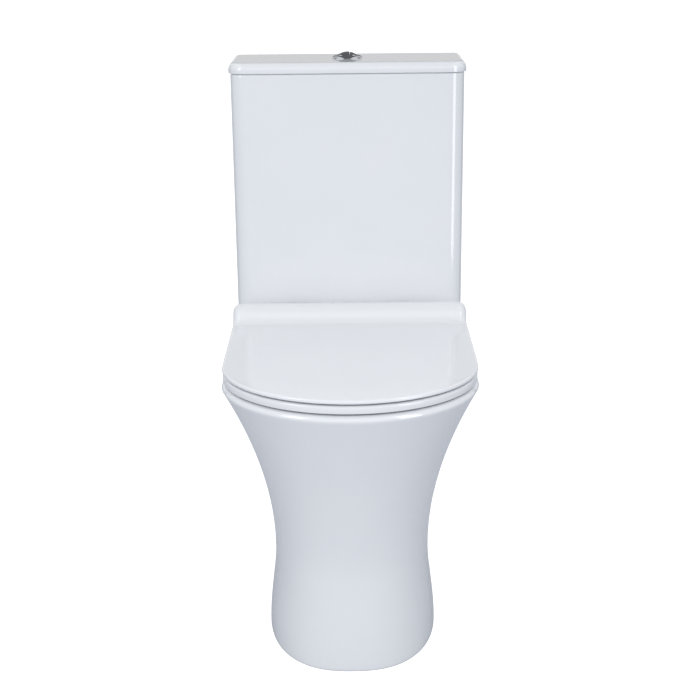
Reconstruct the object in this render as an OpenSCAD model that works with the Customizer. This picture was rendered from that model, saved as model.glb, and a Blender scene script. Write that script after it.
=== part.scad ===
// Close coupled toilet: a vitreous china pan with its cistern bolted on the rear deck, a lift-off cistern
// lid with a dual flush button, a drop flush valve and a float fill valve inside, and a soft-close seat.
// +X is the user's left-to-right seen from the front, +Y points to the wall, +Z is up.
// The origin is on the floor, midway between the two sides and midway between the front lip and the wall.

/* [Overall] */
// Depth from the front lip of the pan to the wall
depth = 616; // [580:2:660]
// Smallest gap between two pieces that move on each other
running_gap = 0.1; // [0.05:0.05:0.2]

/* [Pan] */
// Width of the pan at its rim
rim_w = 366; // [340:2:400]
// Height of the rim and of the deck that carries the cistern
rim_h = 403; // [380:1:450]
// Width across the waist of the pedestal
waist_w = 227; // [210:1:260]
// Height of the waist above the floor
waist_h = 138; // [110:1:170]
// Width across the foot
foot_w = 250; // [230:1:280]
// Width of the straight rear stretch under the cistern
rear_w = 220; // [206:1:236]
// How far the waist stands behind the front lip
waist_setback = 71; // [60:1:90]
// How far the foot stands behind the front lip
foot_setback = 69; // [55:1:90]
// Thickness of the fired clay wall of the pedestal
pan_wall = 11; // [9:0.5:13]
// Thickness of the deck and the rim
deck_t = 12; // [10:1:16]
// Radius of the rim's outer edge
rim_edge_r = 8; // [5:1:11]

/* [Bowl] */
// Width of the rim between the outside and the bowl's mouth
rim_band = 46; // [40:1:56]
// Length of the bowl's mouth
mouth_l = 324; // [300:2:340]
// Thickness of the bowl wall
bowl_wall = 10; // [8:0.5:12]
// Height of the bottom of the sump above the floor
sump_h = 42; // [36:1:60]
// Height of the weir that holds the water level
weir_h = 168; // [155:1:185]
// Depth of water that seals the trap
seal_depth = 50; // [45:1:60]

/* [Waste and flush ways] */
// Radius of the waterway through the trap
trap_r = 38; // [33:1:40]
// Outside radius of the outlet spigot
spigot_r = 51; // [49:0.5:54]
// Height of the outlet's centre above the floor
outlet_h = 180; // [175:1:190]
// Gap between the end of the spigot and the wall
spigot_to_wall = 76; // [60:1:100]
// Radius of the flush way from the deck to the bowl
flush_r = 28; // [24:1:30]

/* [Cistern] */
// Width of the cistern at its top
cistern_w = 360; // [330:2:380]
// Depth of the cistern from front to back
cistern_d = 159; // [150:1:175]
// Height of the cistern without its lid
cistern_h = 401; // [340:1:430]
// How much each side draws in from top to bottom
cistern_taper = 3; // [0:0.5:6]
// Wall thickness of the cistern
cistern_wall = 9; // [7:0.5:11]
// Radius of the front upright corners
front_corner_r = 24; // [15:1:30]
// Height of the hollow under the cistern floor
under_recess = 26; // [24:1:34]
// Thickness of the cistern floor
floor_t = 10; // [8:1:12]
// Thickness of the cistern lid at its middle
lid_t = 16.5; // [14:0.5:24]
// How far the cistern lid stands proud of the sides and front
lid_overhang = 3; // [2:0.5:6]

/* [Flush button] */
// Radius of the chromed collar
collar_r = 24.5; // [22:0.5:28]
// Radius of the pair of buttons
button_r = 16.5; // [15:0.5:19]
// Height of the domed top of the buttons
dome_h = 6; // [3:0.5:7]
// How far a button travels when pressed
button_stroke = 7; // [5:0.5:8]

/* [Valves] */
// Radius of the flush valve's threaded outlet
outlet_thread_r = 29.5; // [27:0.5:32]
// Lift of the flush valve for a full flush
valve_lift = 21; // [14:1:24]
// Height of the overflow tube above the cistern floor
overflow_h = 250; // [200:5:270]
// Distance of the fill valve from the middle of the cistern
fill_valve_x = 130; // [122:1:134]
// Radius of the fill valve's threaded tail, for a half inch pipe fitting
tail_r = 10.48; // [9:0.01:12]
// Travel of the fill valve's float cup
float_travel = 20; // [12:1:20]

/* [Seat] */
// Width of the seat and its lid
seat_w = 364; // [340:2:396]
// Thickness of the seat ring
ring_t = 11; // [9:0.5:16]
// Thickness of the seat lid
lid_plate_t = 7; // [5:0.5:9]
// Thickness of the buffers under the ring and under the lid
buffer_t = 3; // [2:0.5:5]
// Width of the hole in the seat ring
hole_w = 226; // [200:2:240]
// Length of the hole in the seat ring
hole_l = 284; // [250:2:290]
// Outside radius of the lid's rear barrel
barrel_r = 22; // [20:0.5:24]
// Distance between the two hinge fixings
hinge_spacing = 155; // [140:1:170]
// Gap between the seat's barrel and the cistern
barrel_gap = 3; // [2:0.5:8]
// Gap between the seat's barrel and the deck
barrel_deck_gap = 5.5; // [4:0.5:9]

/* [Fixings] */
// Distance between the two cistern bolts
cistern_bolt_spacing = 150; // [144:1:156]
// Radius of the cistern bolts
cistern_bolt_r = 4; // [3:0.5:5]
// Radius of the seat hinge studs
hinge_stud_r = 3; // [3:0.5:4]
// Distance between the two wall screw holes in the cistern
wall_screw_spacing = 200; // [160:5:240]
// Height of the side screws that hold the foot
side_screw_h = 38; // [30:1:60]

/* [Hidden] */

$fn = 64;

china = [0.93, 0.94, 0.96];
seat_white = [0.95, 0.96, 0.97];
chrome = [0.78, 0.79, 0.81];
steel = [0.66, 0.67, 0.69];
rubber = [0.12, 0.12, 0.13];
white_plastic = [0.90, 0.90, 0.89];
blue_plastic = [0.20, 0.42, 0.72];
foam = [0.16, 0.16, 0.17];

// ---- places shared by the pieces ----
front_y = -depth / 2;
wall_y = depth / 2;
pan_back_y = wall_y - 8;
cistern_front_y = wall_y - cistern_d;
cistern_mid_y = wall_y - cistern_d / 2;
deck_under_z = rim_h - deck_t;

rim_side_y = front_y + rim_w / 2;
waist_side_y = rim_side_y + 59;
foot_side_y = rim_side_y + 105;
shoulder_start_y = cistern_front_y - 19;
shoulder_end_y = cistern_front_y + 51;

mouth_front_y = front_y + rim_band;
mouth_back_y = mouth_front_y + mouth_l;

cistern_z = rim_h + 1;
cistern_top_z = cistern_z + cistern_h;
cistern_floor_under_z = cistern_z + under_recess;
cistern_floor_z = cistern_floor_under_z + floor_t;

lid_z = cistern_top_z + 0.5;
lid_top_z = lid_z + lid_t;
lid_hollow_z = lid_top_z - 11;

ring_z = rim_h + buffer_t;
ring_top_z = ring_z + ring_t;
seat_lid_z = ring_top_z + buffer_t;
seat_lid_top_z = seat_lid_z + lid_plate_t;
hinge_y = cistern_front_y - barrel_gap - barrel_r;
hinge_z = rim_h + barrel_deck_gap + barrel_r;
barrel_wall = 3;
barrel_inner_r = barrel_r - barrel_wall;
lug_r = barrel_inner_r - 4;
hinge_pin_r = 4;
bush_r = 8;
block_x = hinge_spacing / 2;
block_half_w = 15.5;
lug_gap = 4;
ring_lug_w = 26;
lid_lug_w = 14;
ring_lug_mid_x = block_x + block_half_w + lug_gap + ring_lug_w / 2;
lid_lug_mid_x = block_x - block_half_w - lug_gap - lid_lug_w / 2;
pillar_r = 5;
pillar_base_r = 17;
pillar_base_t = 4;
gasket_t = 1;

// ---- general helpers ----

// Squared-off rise from 0 to 1 with level ends
function ease(t) = let (u = min(1, max(0, t))) u * u * (3 - 2 * u);

function mirrored(half) = concat(half, [for (i = [len(half) - 1:-1:1]) [-half[i][0], half[i][1]]]);

// Closed solid through level rings [height, outline], capped by fans about a point inside each end
module skin(rings, cap = [0, 0]) {
    n = len(rings[0][1]);
    m = len(rings);
    points = concat(
        [for (r = rings) for (p = r[1]) [p[0], p[1], r[0]]],
        [[cap[0], cap[1], rings[0][0]], [cap[0], cap[1], rings[m - 1][0]]]
    );
    sides = [
        for (j = [0:m - 2]) for (i = [0:n - 1])
            let (a = j * n + i, b = j * n + (i + 1) % n)
                each [[a, a + n, b + n], [a, b + n, b]]
    ];
    low = [for (i = [0:n - 1]) [m * n, i, (i + 1) % n]];
    high = [for (i = [0:n - 1]) [m * n + 1, (m - 1) * n + (i + 1) % n, (m - 1) * n + i]];
    polyhedron(points, concat(sides, low, high), convexity = 10);
}

module at(x = 0, y = 0, z = 0) { translate([x, y, z]) children(); }

module both_sides(x) { for (s = [-1, 1]) translate([s * x, 0, 0]) children(); }

module tube(outer, inner, h) {
    difference() {
        cylinder(r = outer, h = h);
        translate([0, 0, -1]) cylinder(r = inner, h = h + 2);
    }
}

// Cylinder along X, centred on x = 0
module bar_x(r, l) { rotate([0, 90, 0]) cylinder(r = r, h = l, center = true); }

// Round rod between two points
module rod(a, b, r) {
    d = b - a;
    l = norm(d);
    translate(a) rotate([0, acos(d[2] / l), atan2(d[1], d[0])]) cylinder(r = r, h = l);
}

// Round way along a list of points, with a ball at each bend
module way(points, r) {
    for (i = [0:len(points) - 2]) rod(points[i], points[i + 1], r);
    for (i = [1:len(points) - 2]) translate(points[i]) sphere(r = r * 1.01);
}

module hexagon(across, h) { cylinder(r = across / sqrt(3), h = h, $fn = 6); }

// ---- pan ----

// The pedestal's level outline is a superellipse at the front, straight flanks, and a shoulder that draws
// the flanks in to the narrow stretch under the cistern. Above the waist it flares as a parabola.
function flare(z) = min(1, max(0, (z - waist_h) / (rim_h - rim_edge_r - waist_h)));
function spread(z) = ease((waist_h - z) / waist_h);
function body_half_w(z) = z > waist_h
    ? (waist_w + (rim_w - waist_w) * pow(flare(z), 2)) / 2
    : (waist_w + (foot_w - waist_w) * spread(z)) / 2;
function body_front_y(z) = z > waist_h
    ? front_y + waist_setback * (1 - pow(flare(z), 1.55))
    : front_y + waist_setback + (foot_setback - waist_setback) * spread(z);
function body_side_y(z) = z > waist_h
    ? waist_side_y + (rim_side_y - waist_side_y) * flare(z)
    : waist_side_y + (foot_side_y - waist_side_y) * (waist_h - z) / waist_h;
function body_power(z) = 2 + 0.25 * (1 - z / rim_h);

shoulder_l = shoulder_end_y - shoulder_start_y;
function flank_x(w, y) = w + (rear_w / 2 - w) * ease((y - shoulder_start_y) / shoulder_l);

front_steps = 13;
shoulder_steps = 6;
function body_outline(z, inset, back_y) =
    let (
        w = body_half_w(z),
        f = body_front_y(z) + inset,
        s = body_side_y(z),
        e = 2 / body_power(z),
        front = [
            for (i = [0:front_steps])
                let (a = 90 * i / front_steps)
                    [(w - inset) * pow(sin(a), e), s - (s - f) * pow(cos(a), e)]
        ],
        flank = [
            for (i = [0:shoulder_steps])
                let (y = shoulder_start_y + shoulder_l * i / shoulder_steps)
                    [flank_x(w, y) - inset, y]
        ]
    )
    mirrored(concat(front, flank, [[rear_w / 2 - inset, back_y]]));

body_levels = [
    0, 0.04, 0.09, 0.15, 0.21, 0.28, 0.35, 0.42, 0.49, 0.56, 0.63, 0.70, 0.77, 0.84, 0.91, 0.96,
];
module pan_outside() {
    straight_h = rim_h - rim_edge_r;
    body = [for (k = body_levels) [k * straight_h, body_outline(k * straight_h, 0, pan_back_y)]];
    edge = [
        for (a = [0:30:90])
            let (inset = rim_edge_r * (1 - cos(a)))
                [straight_h + rim_edge_r * sin(a), body_outline(straight_h, inset, pan_back_y)]
    ];
    skin(concat(body, edge));
}

module pan_hollow() {
    rings = [
        for (k = [-0.01, 0.1, 0.2, 0.3, 0.42, 0.54, 0.66, 0.78, 0.9, 1])
            [k * deck_under_z, body_outline(k * deck_under_z, pan_wall, pan_back_y + 5)]
    ];
    skin(rings);
}

// The bowl is a stack of superellipses from the sump up to the mouth
sump_half_w = 30;
sump_front_y = mouth_front_y + 190;
sump_back_y = mouth_back_y - 12;
bowl_steps = 36;
function bowl_share(z) = pow(min(1, max(0.0001, (z - sump_h) / (rim_h - sump_h))), 0.6);
function bowl_outline(z, out) =
    let (
        t = bowl_share(z),
        w = sump_half_w + (rim_w / 2 - rim_band - sump_half_w) * t + out,
        front = sump_front_y + (mouth_front_y - sump_front_y) * t - out,
        back = sump_back_y + (mouth_back_y - sump_back_y) * t + out,
        mid = (front + back) / 2,
        l = (back - front) / 2
    )
    [
        for (i = [0:bowl_steps - 1])
            let (a = 360 * i / bowl_steps, c = cos(a), s = sin(a))
                [w * sign(c) * pow(abs(c), 0.87), mid + l * sign(s) * pow(abs(s), 0.87)]
    ];
bowl_levels = [0.0, 0.02, 0.06, 0.12, 0.2, 0.3, 0.42, 0.55, 0.7, 0.85];
sump_mid_y = (sump_front_y + sump_back_y) / 2;

module bowl_outside() {
    rings = [
        for (k = bowl_levels)
            let (z = sump_h + k * (rim_h - sump_h)) [z - bowl_wall, bowl_outline(z, bowl_wall)]
    ];
    skin(concat(rings, [[deck_under_z, bowl_outline(deck_under_z, bowl_wall)]]), [0, sump_mid_y]);
}

mouth_edge_r = 7;
module bowl_inside() {
    rings = [for (k = bowl_levels) let (z = sump_h + k * (rim_h - sump_h)) [z, bowl_outline(z, 0)]];
    edge = [
        for (a = [0:30:90])
            [rim_h - mouth_edge_r * (1 - sin(a)), bowl_outline(rim_h, mouth_edge_r * (1 - cos(a)))]
    ];
    skin(concat(rings, edge, [[rim_h + 1, bowl_outline(rim_h, mouth_edge_r)]]), [0, sump_mid_y]);
}

// The trap dips below the water, climbs over the weir and drops to the level outlet
dip_z = weir_h - seal_depth - trap_r;
crown_y = mouth_back_y + 56;
outlet_start_y = crown_y + 46;
spigot_start_y = outlet_start_y + 8;
spigot_end_y = wall_y - spigot_to_wall;
trap_points = [
    [0, sump_mid_y, dip_z],
    [0, mouth_back_y - 4, dip_z],
    [0, crown_y, weir_h + trap_r],
    [0, outlet_start_y, outlet_h],
];
trap_wall = 9;
spigot_wall = 8;

// The flush way drops from a socket in the deck and turns forward into the bowl
duct_z = rim_h - 56;
duct_wall = 10;
socket_wall = 8;
socket_boss_h = 14;
seal_gap = 0.5;
socket_r = outlet_thread_r + 21.5;
socket_depth = 13;
flush_points = [[0, cistern_mid_y, rim_h], [0, cistern_mid_y, duct_z], [0, mouth_back_y - 14, duct_z]];

module trap_outside() {
    way(trap_points, trap_r + trap_wall);
    at(0, outlet_start_y, outlet_h) sphere(r = trap_r + trap_wall + 1);
    at(0, spigot_start_y, outlet_h)
        rotate([-90, 0, 0]) cylinder(r = spigot_r, h = spigot_end_y - spigot_start_y);
}

module trap_inside() {
    way(trap_points, trap_r);
    at(0, outlet_start_y, outlet_h) sphere(r = trap_r * 1.02);
    at(0, outlet_start_y, outlet_h)
        rotate([-90, 0, 0]) cylinder(r = trap_r - 1, h = spigot_end_y - outlet_start_y);
    at(0, spigot_start_y + 4, outlet_h)
        rotate([-90, 0, 0]) cylinder(r = spigot_r - spigot_wall, h = spigot_end_y - spigot_start_y);
}

module flush_outside() {
    outer = flush_r + duct_wall;
    at(0, cistern_mid_y, deck_under_z - socket_boss_h)
        cylinder(r = socket_r + socket_wall, h = socket_boss_h);
    at(0, cistern_mid_y, duct_z) cylinder(r = outer, h = deck_under_z - duct_z);
    at(0, cistern_mid_y, duct_z) sphere(r = outer * 1.01);
    at(0, cistern_mid_y, duct_z)
        rotate([90, 0, 0]) cylinder(r = outer, h = cistern_mid_y - mouth_back_y - 4);
}

module flush_inside() {
    way(flush_points, flush_r);
    at(0, cistern_mid_y, rim_h - socket_depth) cylinder(r = socket_r, h = socket_depth + 1);
}

side_screw_y = wall_y - 106;
side_screw_r = 2.5;
side_screw_hole_r = 4.5;
cap_r = 8.5;
spot_x = rear_w / 2 - 1.5;
module side_screw_holes() {
    both_sides(spot_x - 10) at(0, side_screw_y, side_screw_h) bar_x(side_screw_hole_r, 40);
    both_sides(spot_x + 10) at(0, side_screw_y, side_screw_h) bar_x(cap_r + 1, 20);
}

hinge_hole_r = 8;
cistern_bolt_x = cistern_bolt_spacing / 2;
cistern_bolt_hole_r = cistern_bolt_r + 2;

// The clay of the pan is fired as one piece; it is drawn as four that meet face to face
module pan() {
    color(china) difference() {
        pan_outside();
        pan_hollow();
        bowl_inside();
        flush_inside();
        both_sides(block_x) at(0, hinge_y, deck_under_z - 1) cylinder(r = hinge_hole_r, h = deck_t + 2);
        both_sides(cistern_bolt_x)
            at(0, cistern_mid_y, deck_under_z - 1) cylinder(r = cistern_bolt_hole_r, h = deck_t + 2);
        side_screw_holes();
    }
}

module pan_bowl() {
    color(china) difference() {
        intersection() {
            bowl_outside();
            pan_hollow();
        }
        bowl_inside();
        trap_inside();
        flush_inside();
    }
}

module pan_trap() {
    color(china) difference() {
        trap_outside();
        bowl_outside();
        trap_inside();
    }
}

wing_nut_room = 15.5;
module flush_duct() {
    color(china) difference() {
        flush_outside();
        bowl_outside();
        flush_inside();
        both_sides(cistern_bolt_x)
            at(0, cistern_mid_y, deck_under_z - 40) cylinder(r = wing_nut_room, h = 41);
    }
}

// ---- cistern ----

rear_corner_r = 8;
corner_step = 15;
// Rounded oblong from y0 to the wall side y1, with large front corners and small rear ones
function oblong(half_w, y0, y1, rf, rr) = mirrored(concat(
    [[0, y0]],
    [for (a = [0:corner_step:90]) [half_w - rf + rf * sin(a), y0 + rf - rf * cos(a)]],
    [for (a = [0:corner_step:90]) [half_w - rr + rr * cos(a), y1 - rr + rr * sin(a)]],
    [[0, y1]]
));

function cistern_half_w(z) = cistern_w / 2 - cistern_taper * (cistern_top_z - z) / cistern_h;
function cistern_ring(z, inset) = [
    z,
    oblong(
        cistern_half_w(z) - inset, cistern_front_y + inset, wall_y - inset,
        max(3, front_corner_r - inset), max(2, rear_corner_r - inset)
    ),
];
cistern_cap = [0, cistern_mid_y];
wall_screw_z = cistern_top_z - 45;
wall_screw_r = 3.5;
foot_wall = cistern_wall + 3;
flush_hole_r = outlet_thread_r + 2;
shank_r = tail_r + 0.7;
fill_hole_r = shank_r + 1.3;

module cistern() {
    color(china) difference() {
        skin(
            [cistern_ring(cistern_z, 2), cistern_ring(cistern_z + 2, 0), cistern_ring(cistern_top_z, 0)],
            cistern_cap
        );
        skin(
            [cistern_ring(cistern_floor_z, cistern_wall), cistern_ring(cistern_top_z + 1, cistern_wall)],
            cistern_cap
        );
        skin(
            [cistern_ring(cistern_z - 1, foot_wall), cistern_ring(cistern_floor_under_z, foot_wall)],
            cistern_cap
        );
        at(0, cistern_mid_y, cistern_floor_under_z - 1) {
            cylinder(r = flush_hole_r, h = floor_t + 2);
            at(-fill_valve_x, 0, 0) cylinder(r = fill_hole_r, h = floor_t + 2);
            both_sides(cistern_bolt_x) cylinder(r = cistern_bolt_hole_r, h = floor_t + 2);
        }
        both_sides(wall_screw_spacing / 2) at(0, wall_y + 1, wall_screw_z)
            rotate([90, 0, 0]) cylinder(r = wall_screw_r, h = cistern_wall + 2);
    }
}

lid_edge_r = 9;
lip_gap = 2;
lip_wall = 6;
lip_depth = 8;
collar_inner_r = button_r + 0.5;
collar_barrel_r = collar_inner_r + 2.5;
// The lid's outline follows the cistern with an overhang at the front and sides, and is flush at the wall
function lid_ring(z, inset) = [
    z,
    oblong(
        cistern_w / 2 + lid_overhang - inset, cistern_front_y - lid_overhang + inset,
        wall_y - min(inset, 4), max(3, front_corner_r + lid_overhang - inset), max(2, rear_corner_r - inset)
    ),
];
// The locating lip under the lid drops inside the cistern's walls
function lip_ring(z, inset) = [
    z,
    oblong(
        cistern_w / 2 - cistern_wall - lip_gap - inset, cistern_front_y + cistern_wall + lip_gap + inset,
        wall_y - cistern_wall - lip_gap - inset, max(3, front_corner_r - cistern_wall - inset), 5
    ),
];

module cistern_lid() {
    color(china) difference() {
        union() {
            skin(concat(
                [lid_ring(lid_z, 1.2), lid_ring(lid_z + 1.2, 0)],
                [
                    for (a = [0:22.5:90])
                        lid_ring(lid_top_z - lid_edge_r * (1 - sin(a)), lid_edge_r * (1 - cos(a)))
                ]
            ), cistern_cap);
            skin([lip_ring(lid_z - lip_depth, 0), lip_ring(lid_hollow_z + 1, 0)], cistern_cap);
        }
        skin([lip_ring(lid_z - lip_depth - 1, lip_wall), lip_ring(lid_hollow_z, lip_wall)], cistern_cap);
        at(0, cistern_mid_y, lid_z - 1) cylinder(r = collar_barrel_r + 0.5, h = lid_t + 2);
    }
}
// ---- what couples the cistern to the pan ----

plate_t = 2;
cone_washer_t = 6;
bolt_head_t = 5;
wing_nut_t = 9;
deck_washer_t = 3;
module coupling_plate() {
    color(steel) at(0, cistern_mid_y, cistern_floor_under_z - plate_t) difference() {
        linear_extrude(plate_t) difference() {
            union() {
                square([cistern_bolt_spacing, 30], center = true);
                both_sides(cistern_bolt_x) circle(r = 15);
                circle(r = outlet_thread_r + 16);
            }
            circle(r = outlet_thread_r + 0.5);
            both_sides(cistern_bolt_x) circle(r = cistern_bolt_r + 0.5);
        }
    }
}

module coupling_bolts() {
    bottom = deck_under_z - deck_washer_t - wing_nut_t - 10;
    color(steel) both_sides(cistern_bolt_x) at(0, cistern_mid_y, 0) {
        at(0, 0, bottom) cylinder(r = cistern_bolt_r, h = cistern_floor_z + cone_washer_t - bottom + 1);
        at(0, 0, cistern_floor_z + cone_washer_t) hexagon(13, bolt_head_t);
    }
}

module bolt_cone_washers() {
    color(rubber) both_sides(cistern_bolt_x) at(0, cistern_mid_y, cistern_floor_z) rotate_extrude()
        polygon([
            [cistern_bolt_r, 0], [14, 0], [14, 2], [9, cone_washer_t], [cistern_bolt_r, cone_washer_t],
        ]);
}

module bolt_deck_washers() {
    color(rubber) both_sides(cistern_bolt_x)
        at(0, cistern_mid_y, deck_under_z - deck_washer_t) tube(12, cistern_bolt_r, deck_washer_t);
}

// Nut with two wings for the fingers
module wing_nut(bore, body_r, h, wing_l) {
    difference() {
        union() {
            cylinder(r = body_r, h = h);
            at(0, 0, h * 0.65) cube([wing_l, 3, h * 1.3], center = true);
        }
        translate([0, 0, -h]) cylinder(r = bore, h = 3 * h);
    }
}

module bolt_wing_nuts() {
    color(white_plastic) both_sides(cistern_bolt_x)
        at(0, cistern_mid_y, deck_under_z - deck_washer_t) mirror([0, 0, 1])
            wing_nut(cistern_bolt_r, 8, wing_nut_t, 28);
}

backnut_t = 12;
doughnut_r = socket_r - seal_gap;
module doughnut_seal() {
    z0 = rim_h - socket_depth;
    z1 = cistern_floor_under_z - plate_t - backnut_t;
    color(foam) at(0, cistern_mid_y, z0) rotate_extrude() difference() {
        translate([outlet_thread_r + 1, 0]) square([doughnut_r - outlet_thread_r - 1, z1 - z0]);
        translate([doughnut_r, z1 - z0]) rotate(45) square(6, center = true);
    }
}

// ---- flush valve ----

washer_t = 4;
base_flange_z = cistern_floor_z + washer_t;
base_flange_t = 5;
valve_seat_z = base_flange_z + base_flange_t + 4;
valve_bore_r = outlet_thread_r - 4;
cage_top_z = valve_seat_z + 70;
tower_top_z = cistern_floor_z + overflow_h + 25;
tower_r = outlet_thread_r + 2.5;
tower_wall = 2.5;
cage_r = outlet_thread_r + 11;
module flush_valve_base() {
    thread_z = rim_h - socket_depth + 2;
    color(white_plastic) at(0, cistern_mid_y, 0) difference() {
        union() {
            at(0, 0, thread_z) cylinder(r = outlet_thread_r, h = base_flange_z - thread_z + 1);
            at(0, 0, base_flange_z) cylinder(r = cage_r, h = base_flange_t);
            at(0, 0, base_flange_z) cylinder(r = outlet_thread_r, h = valve_seat_z - base_flange_z);
            for (a = [45:90:315]) rotate(a) at(outlet_thread_r + 7, 0, base_flange_z + 1)
                cylinder(r = 3, h = cage_top_z - base_flange_z - 1);
            at(0, 0, cage_top_z - 4) tube(cage_r, tower_r + running_gap, 4);
        }
        at(0, 0, thread_z - 1) cylinder(r = valve_bore_r, h = 200);
    }
}

module flush_valve_washer() {
    color(rubber) at(0, cistern_mid_y, cistern_floor_z)
        tube(outlet_thread_r + 9, outlet_thread_r + 0.3, washer_t);
}

module flush_valve_backnut() {
    color(white_plastic) at(0, cistern_mid_y, cistern_floor_under_z - plate_t - backnut_t) difference() {
        union() {
            cylinder(r = outlet_thread_r + 7, h = backnut_t);
            for (a = [0:45:315]) rotate(a) at(outlet_thread_r + 8, 0, backnut_t / 2)
                cube([6, 5, backnut_t], center = true);
        }
        translate([0, 0, -1]) cylinder(r = outlet_thread_r + 0.1, h = backnut_t + 2);
    }
}

// The full and the half flush: where each pad, rod and spring stands, and how thick its stem is
press_x = [-8, 10];
stem_r = [4, 3];
stem_gap = 0.3;
pad_head_t = 4;
pad_stem_l = 24;
head_t = 8;
pad_rest_z = tower_top_z + button_stroke + 5;
tube_r = 14;
guide_z = cage_top_z + valve_lift + 14;
guide_t = 6;
module flush_valve_tower() {
    tower_z = cage_top_z - 8;
    inside_h = tower_top_z - tower_z - head_t;
    window_h = tower_top_z - head_t - guide_z - guide_t - 20;
    color(white_plastic) at(0, cistern_mid_y, 0) difference() {
        union() {
            difference() {
                union() {
                    at(0, 0, tower_z) cylinder(r = tower_r, h = tower_top_z - tower_z);
                    at(0, 0, cage_top_z) cylinder(r = cage_r, h = 5);
                }
                at(0, 0, tower_z - 1) cylinder(r = tower_r - tower_wall, h = inside_h + 1);
                for (a = [0, 90]) rotate(a) at(-12, -50, guide_z + guide_t + 10) cube([24, 100, window_h]);
            }
            at(0, 0, guide_z) cylinder(r = tower_r - 1, h = guide_t);
        }
        at(0, 0, guide_z - 1) cylinder(r = tube_r + running_gap, h = guide_t + 2);
        for (a = [0:60:300]) rotate(a) at(tube_r + 8, 0, guide_z - 1) cylinder(r = 4, h = guide_t + 2);
        for (i = [0, 1])
            at(press_x[i], 0, tower_top_z - head_t - 1) cylinder(r = stem_r[i] + stem_gap, h = head_t + 2);
    }
}

overflow_top_z = cistern_floor_z + overflow_h - valve_lift - 12;
seal_r = outlet_thread_r;
seal_t = 3;
module overflow_tube() {
    color(blue_plastic) at(0, cistern_mid_y, 0) difference() {
        union() {
            at(0, 0, valve_seat_z - 14) cylinder(r = tube_r, h = overflow_top_z - valve_seat_z + 14);
            at(0, 0, valve_seat_z + running_gap + seal_t) cylinder(r = 24, h = 4);
        }
        at(0, 0, valve_seat_z - 15) cylinder(r = tube_r - 2, h = 400);
    }
}

module flush_seal() {
    color(rubber) at(0, cistern_mid_y, valve_seat_z + running_gap) tube(seal_r, tube_r, seal_t);
}

// Open cup turned upside down round the tube, which holds the valve up while there is water
valve_float_r = tower_r - tower_wall - 3;
module valve_float() {
    color(white_plastic) at(0, cistern_mid_y, valve_seat_z + 22) difference() {
        cylinder(r = valve_float_r, h = 42);
        translate([0, 0, -1]) cylinder(r = tube_r, h = 44);
        translate([0, 0, -1]) tube(valve_float_r - 2.5, tube_r + 2.5, 40);
    }
}

// A pad stands on the tower's head on its stem, and a button's rod presses it down
module flush_pad(i) {
    color(blue_plastic) at(press_x[i], cistern_mid_y, pad_rest_z) {
        cylinder(r = stem_r[i] + 2, h = pad_head_t);
        at(0, 0, -pad_stem_l) cylinder(r = stem_r[i], h = pad_stem_l + 1);
        at(0, 0, -pad_stem_l - 2) cylinder(r = stem_r[i] + 1.5, h = 3);
    }
}

// ---- fill valve ----

fill_washer_t = 3;
fill_flange_z = cistern_floor_z + fill_washer_t;
fill_column_r = 9;
fill_top_z = cistern_top_z - 112;
tail_l = 55;
fill_nut_t = 9;
cup_r = 24;
cup_h = 56;
cup_rest_z = fill_top_z - cup_h - float_travel - 12;
cup_gap = 0.6;
link_y = -cup_r - 6;
lever_y = -8;
lever_z = fill_top_z + 14.5;
lever_arm = lever_y - link_y;
lever_swing = asin(float_travel / 2 / lever_arm);
lever_pin_r = 1.4;
lever_ear_x = 6.5;
lever_w = 9;
link_r = 1.2;
module fill_valve_body() {
    color(white_plastic) at(-fill_valve_x, cistern_mid_y, 0) difference() {
        union() {
            at(0, 0, cistern_floor_z - tail_l) cylinder(r = tail_r, h = tail_l);
            at(0, 0, cistern_floor_under_z - fill_nut_t - 1)
                cylinder(r = shank_r, h = floor_t + fill_nut_t + fill_washer_t + 2);
            at(0, 0, fill_flange_z) cylinder(r = 17, h = 4);
            at(0, 0, fill_flange_z + 3) cylinder(r = fill_column_r, h = fill_top_z - fill_flange_z - 3);
            at(0, 0, cup_rest_z - 5) cylinder(r = fill_column_r + 3, h = 4.5);
        }
        at(0, 0, cistern_floor_z - tail_l - 1)
            cylinder(r = 6.5, h = fill_top_z - cistern_floor_z + tail_l - 6);
    }
}

module fill_valve_washer() {
    color(rubber) at(-fill_valve_x, cistern_mid_y, cistern_floor_z)
        tube(16, shank_r + 0.1, fill_washer_t);
}

module fill_valve_backnut() {
    color(white_plastic) at(-fill_valve_x, cistern_mid_y, cistern_floor_under_z - fill_nut_t)
        difference() {
            hexagon(30, fill_nut_t);
            translate([0, 0, -1]) cylinder(r = shank_r, h = fill_nut_t + 2);
        }
}

module fill_valve_cap() {
    color(white_plastic) at(-fill_valve_x, cistern_mid_y, fill_top_z) difference() {
        union() {
            cylinder(r = 15, h = 8);
            at(0, 0, 7) cylinder(r = 8, h = 2);
            both_sides(lever_ear_x) at(-1.5, lever_y - 4, 6) cube([3, 8, lever_z - fill_top_z - 2]);
        }
        at(0, lever_y, lever_z - fill_top_z) bar_x(lever_pin_r + running_gap, 30);
    }
}

// Float cup with a tab for the link
module float_cup() {
    color(blue_plastic) at(-fill_valve_x, cistern_mid_y, cup_rest_z) difference() {
        union() {
            cylinder(r = cup_r, h = cup_h);
            at(-4, link_y - 4, cup_h - 4) cube([8, -link_y + 4 - cup_r + 3, 4]);
        }
        translate([0, 0, -1]) cylinder(r = fill_column_r + cup_gap, h = cup_h + 2);
        translate([0, 0, -1]) tube(cup_r - 2, fill_column_r + cup_gap + 2, cup_h - 2);
        at(0, link_y, cup_h - 5) cylinder(r = link_r, h = 6);
    }
}

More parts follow.
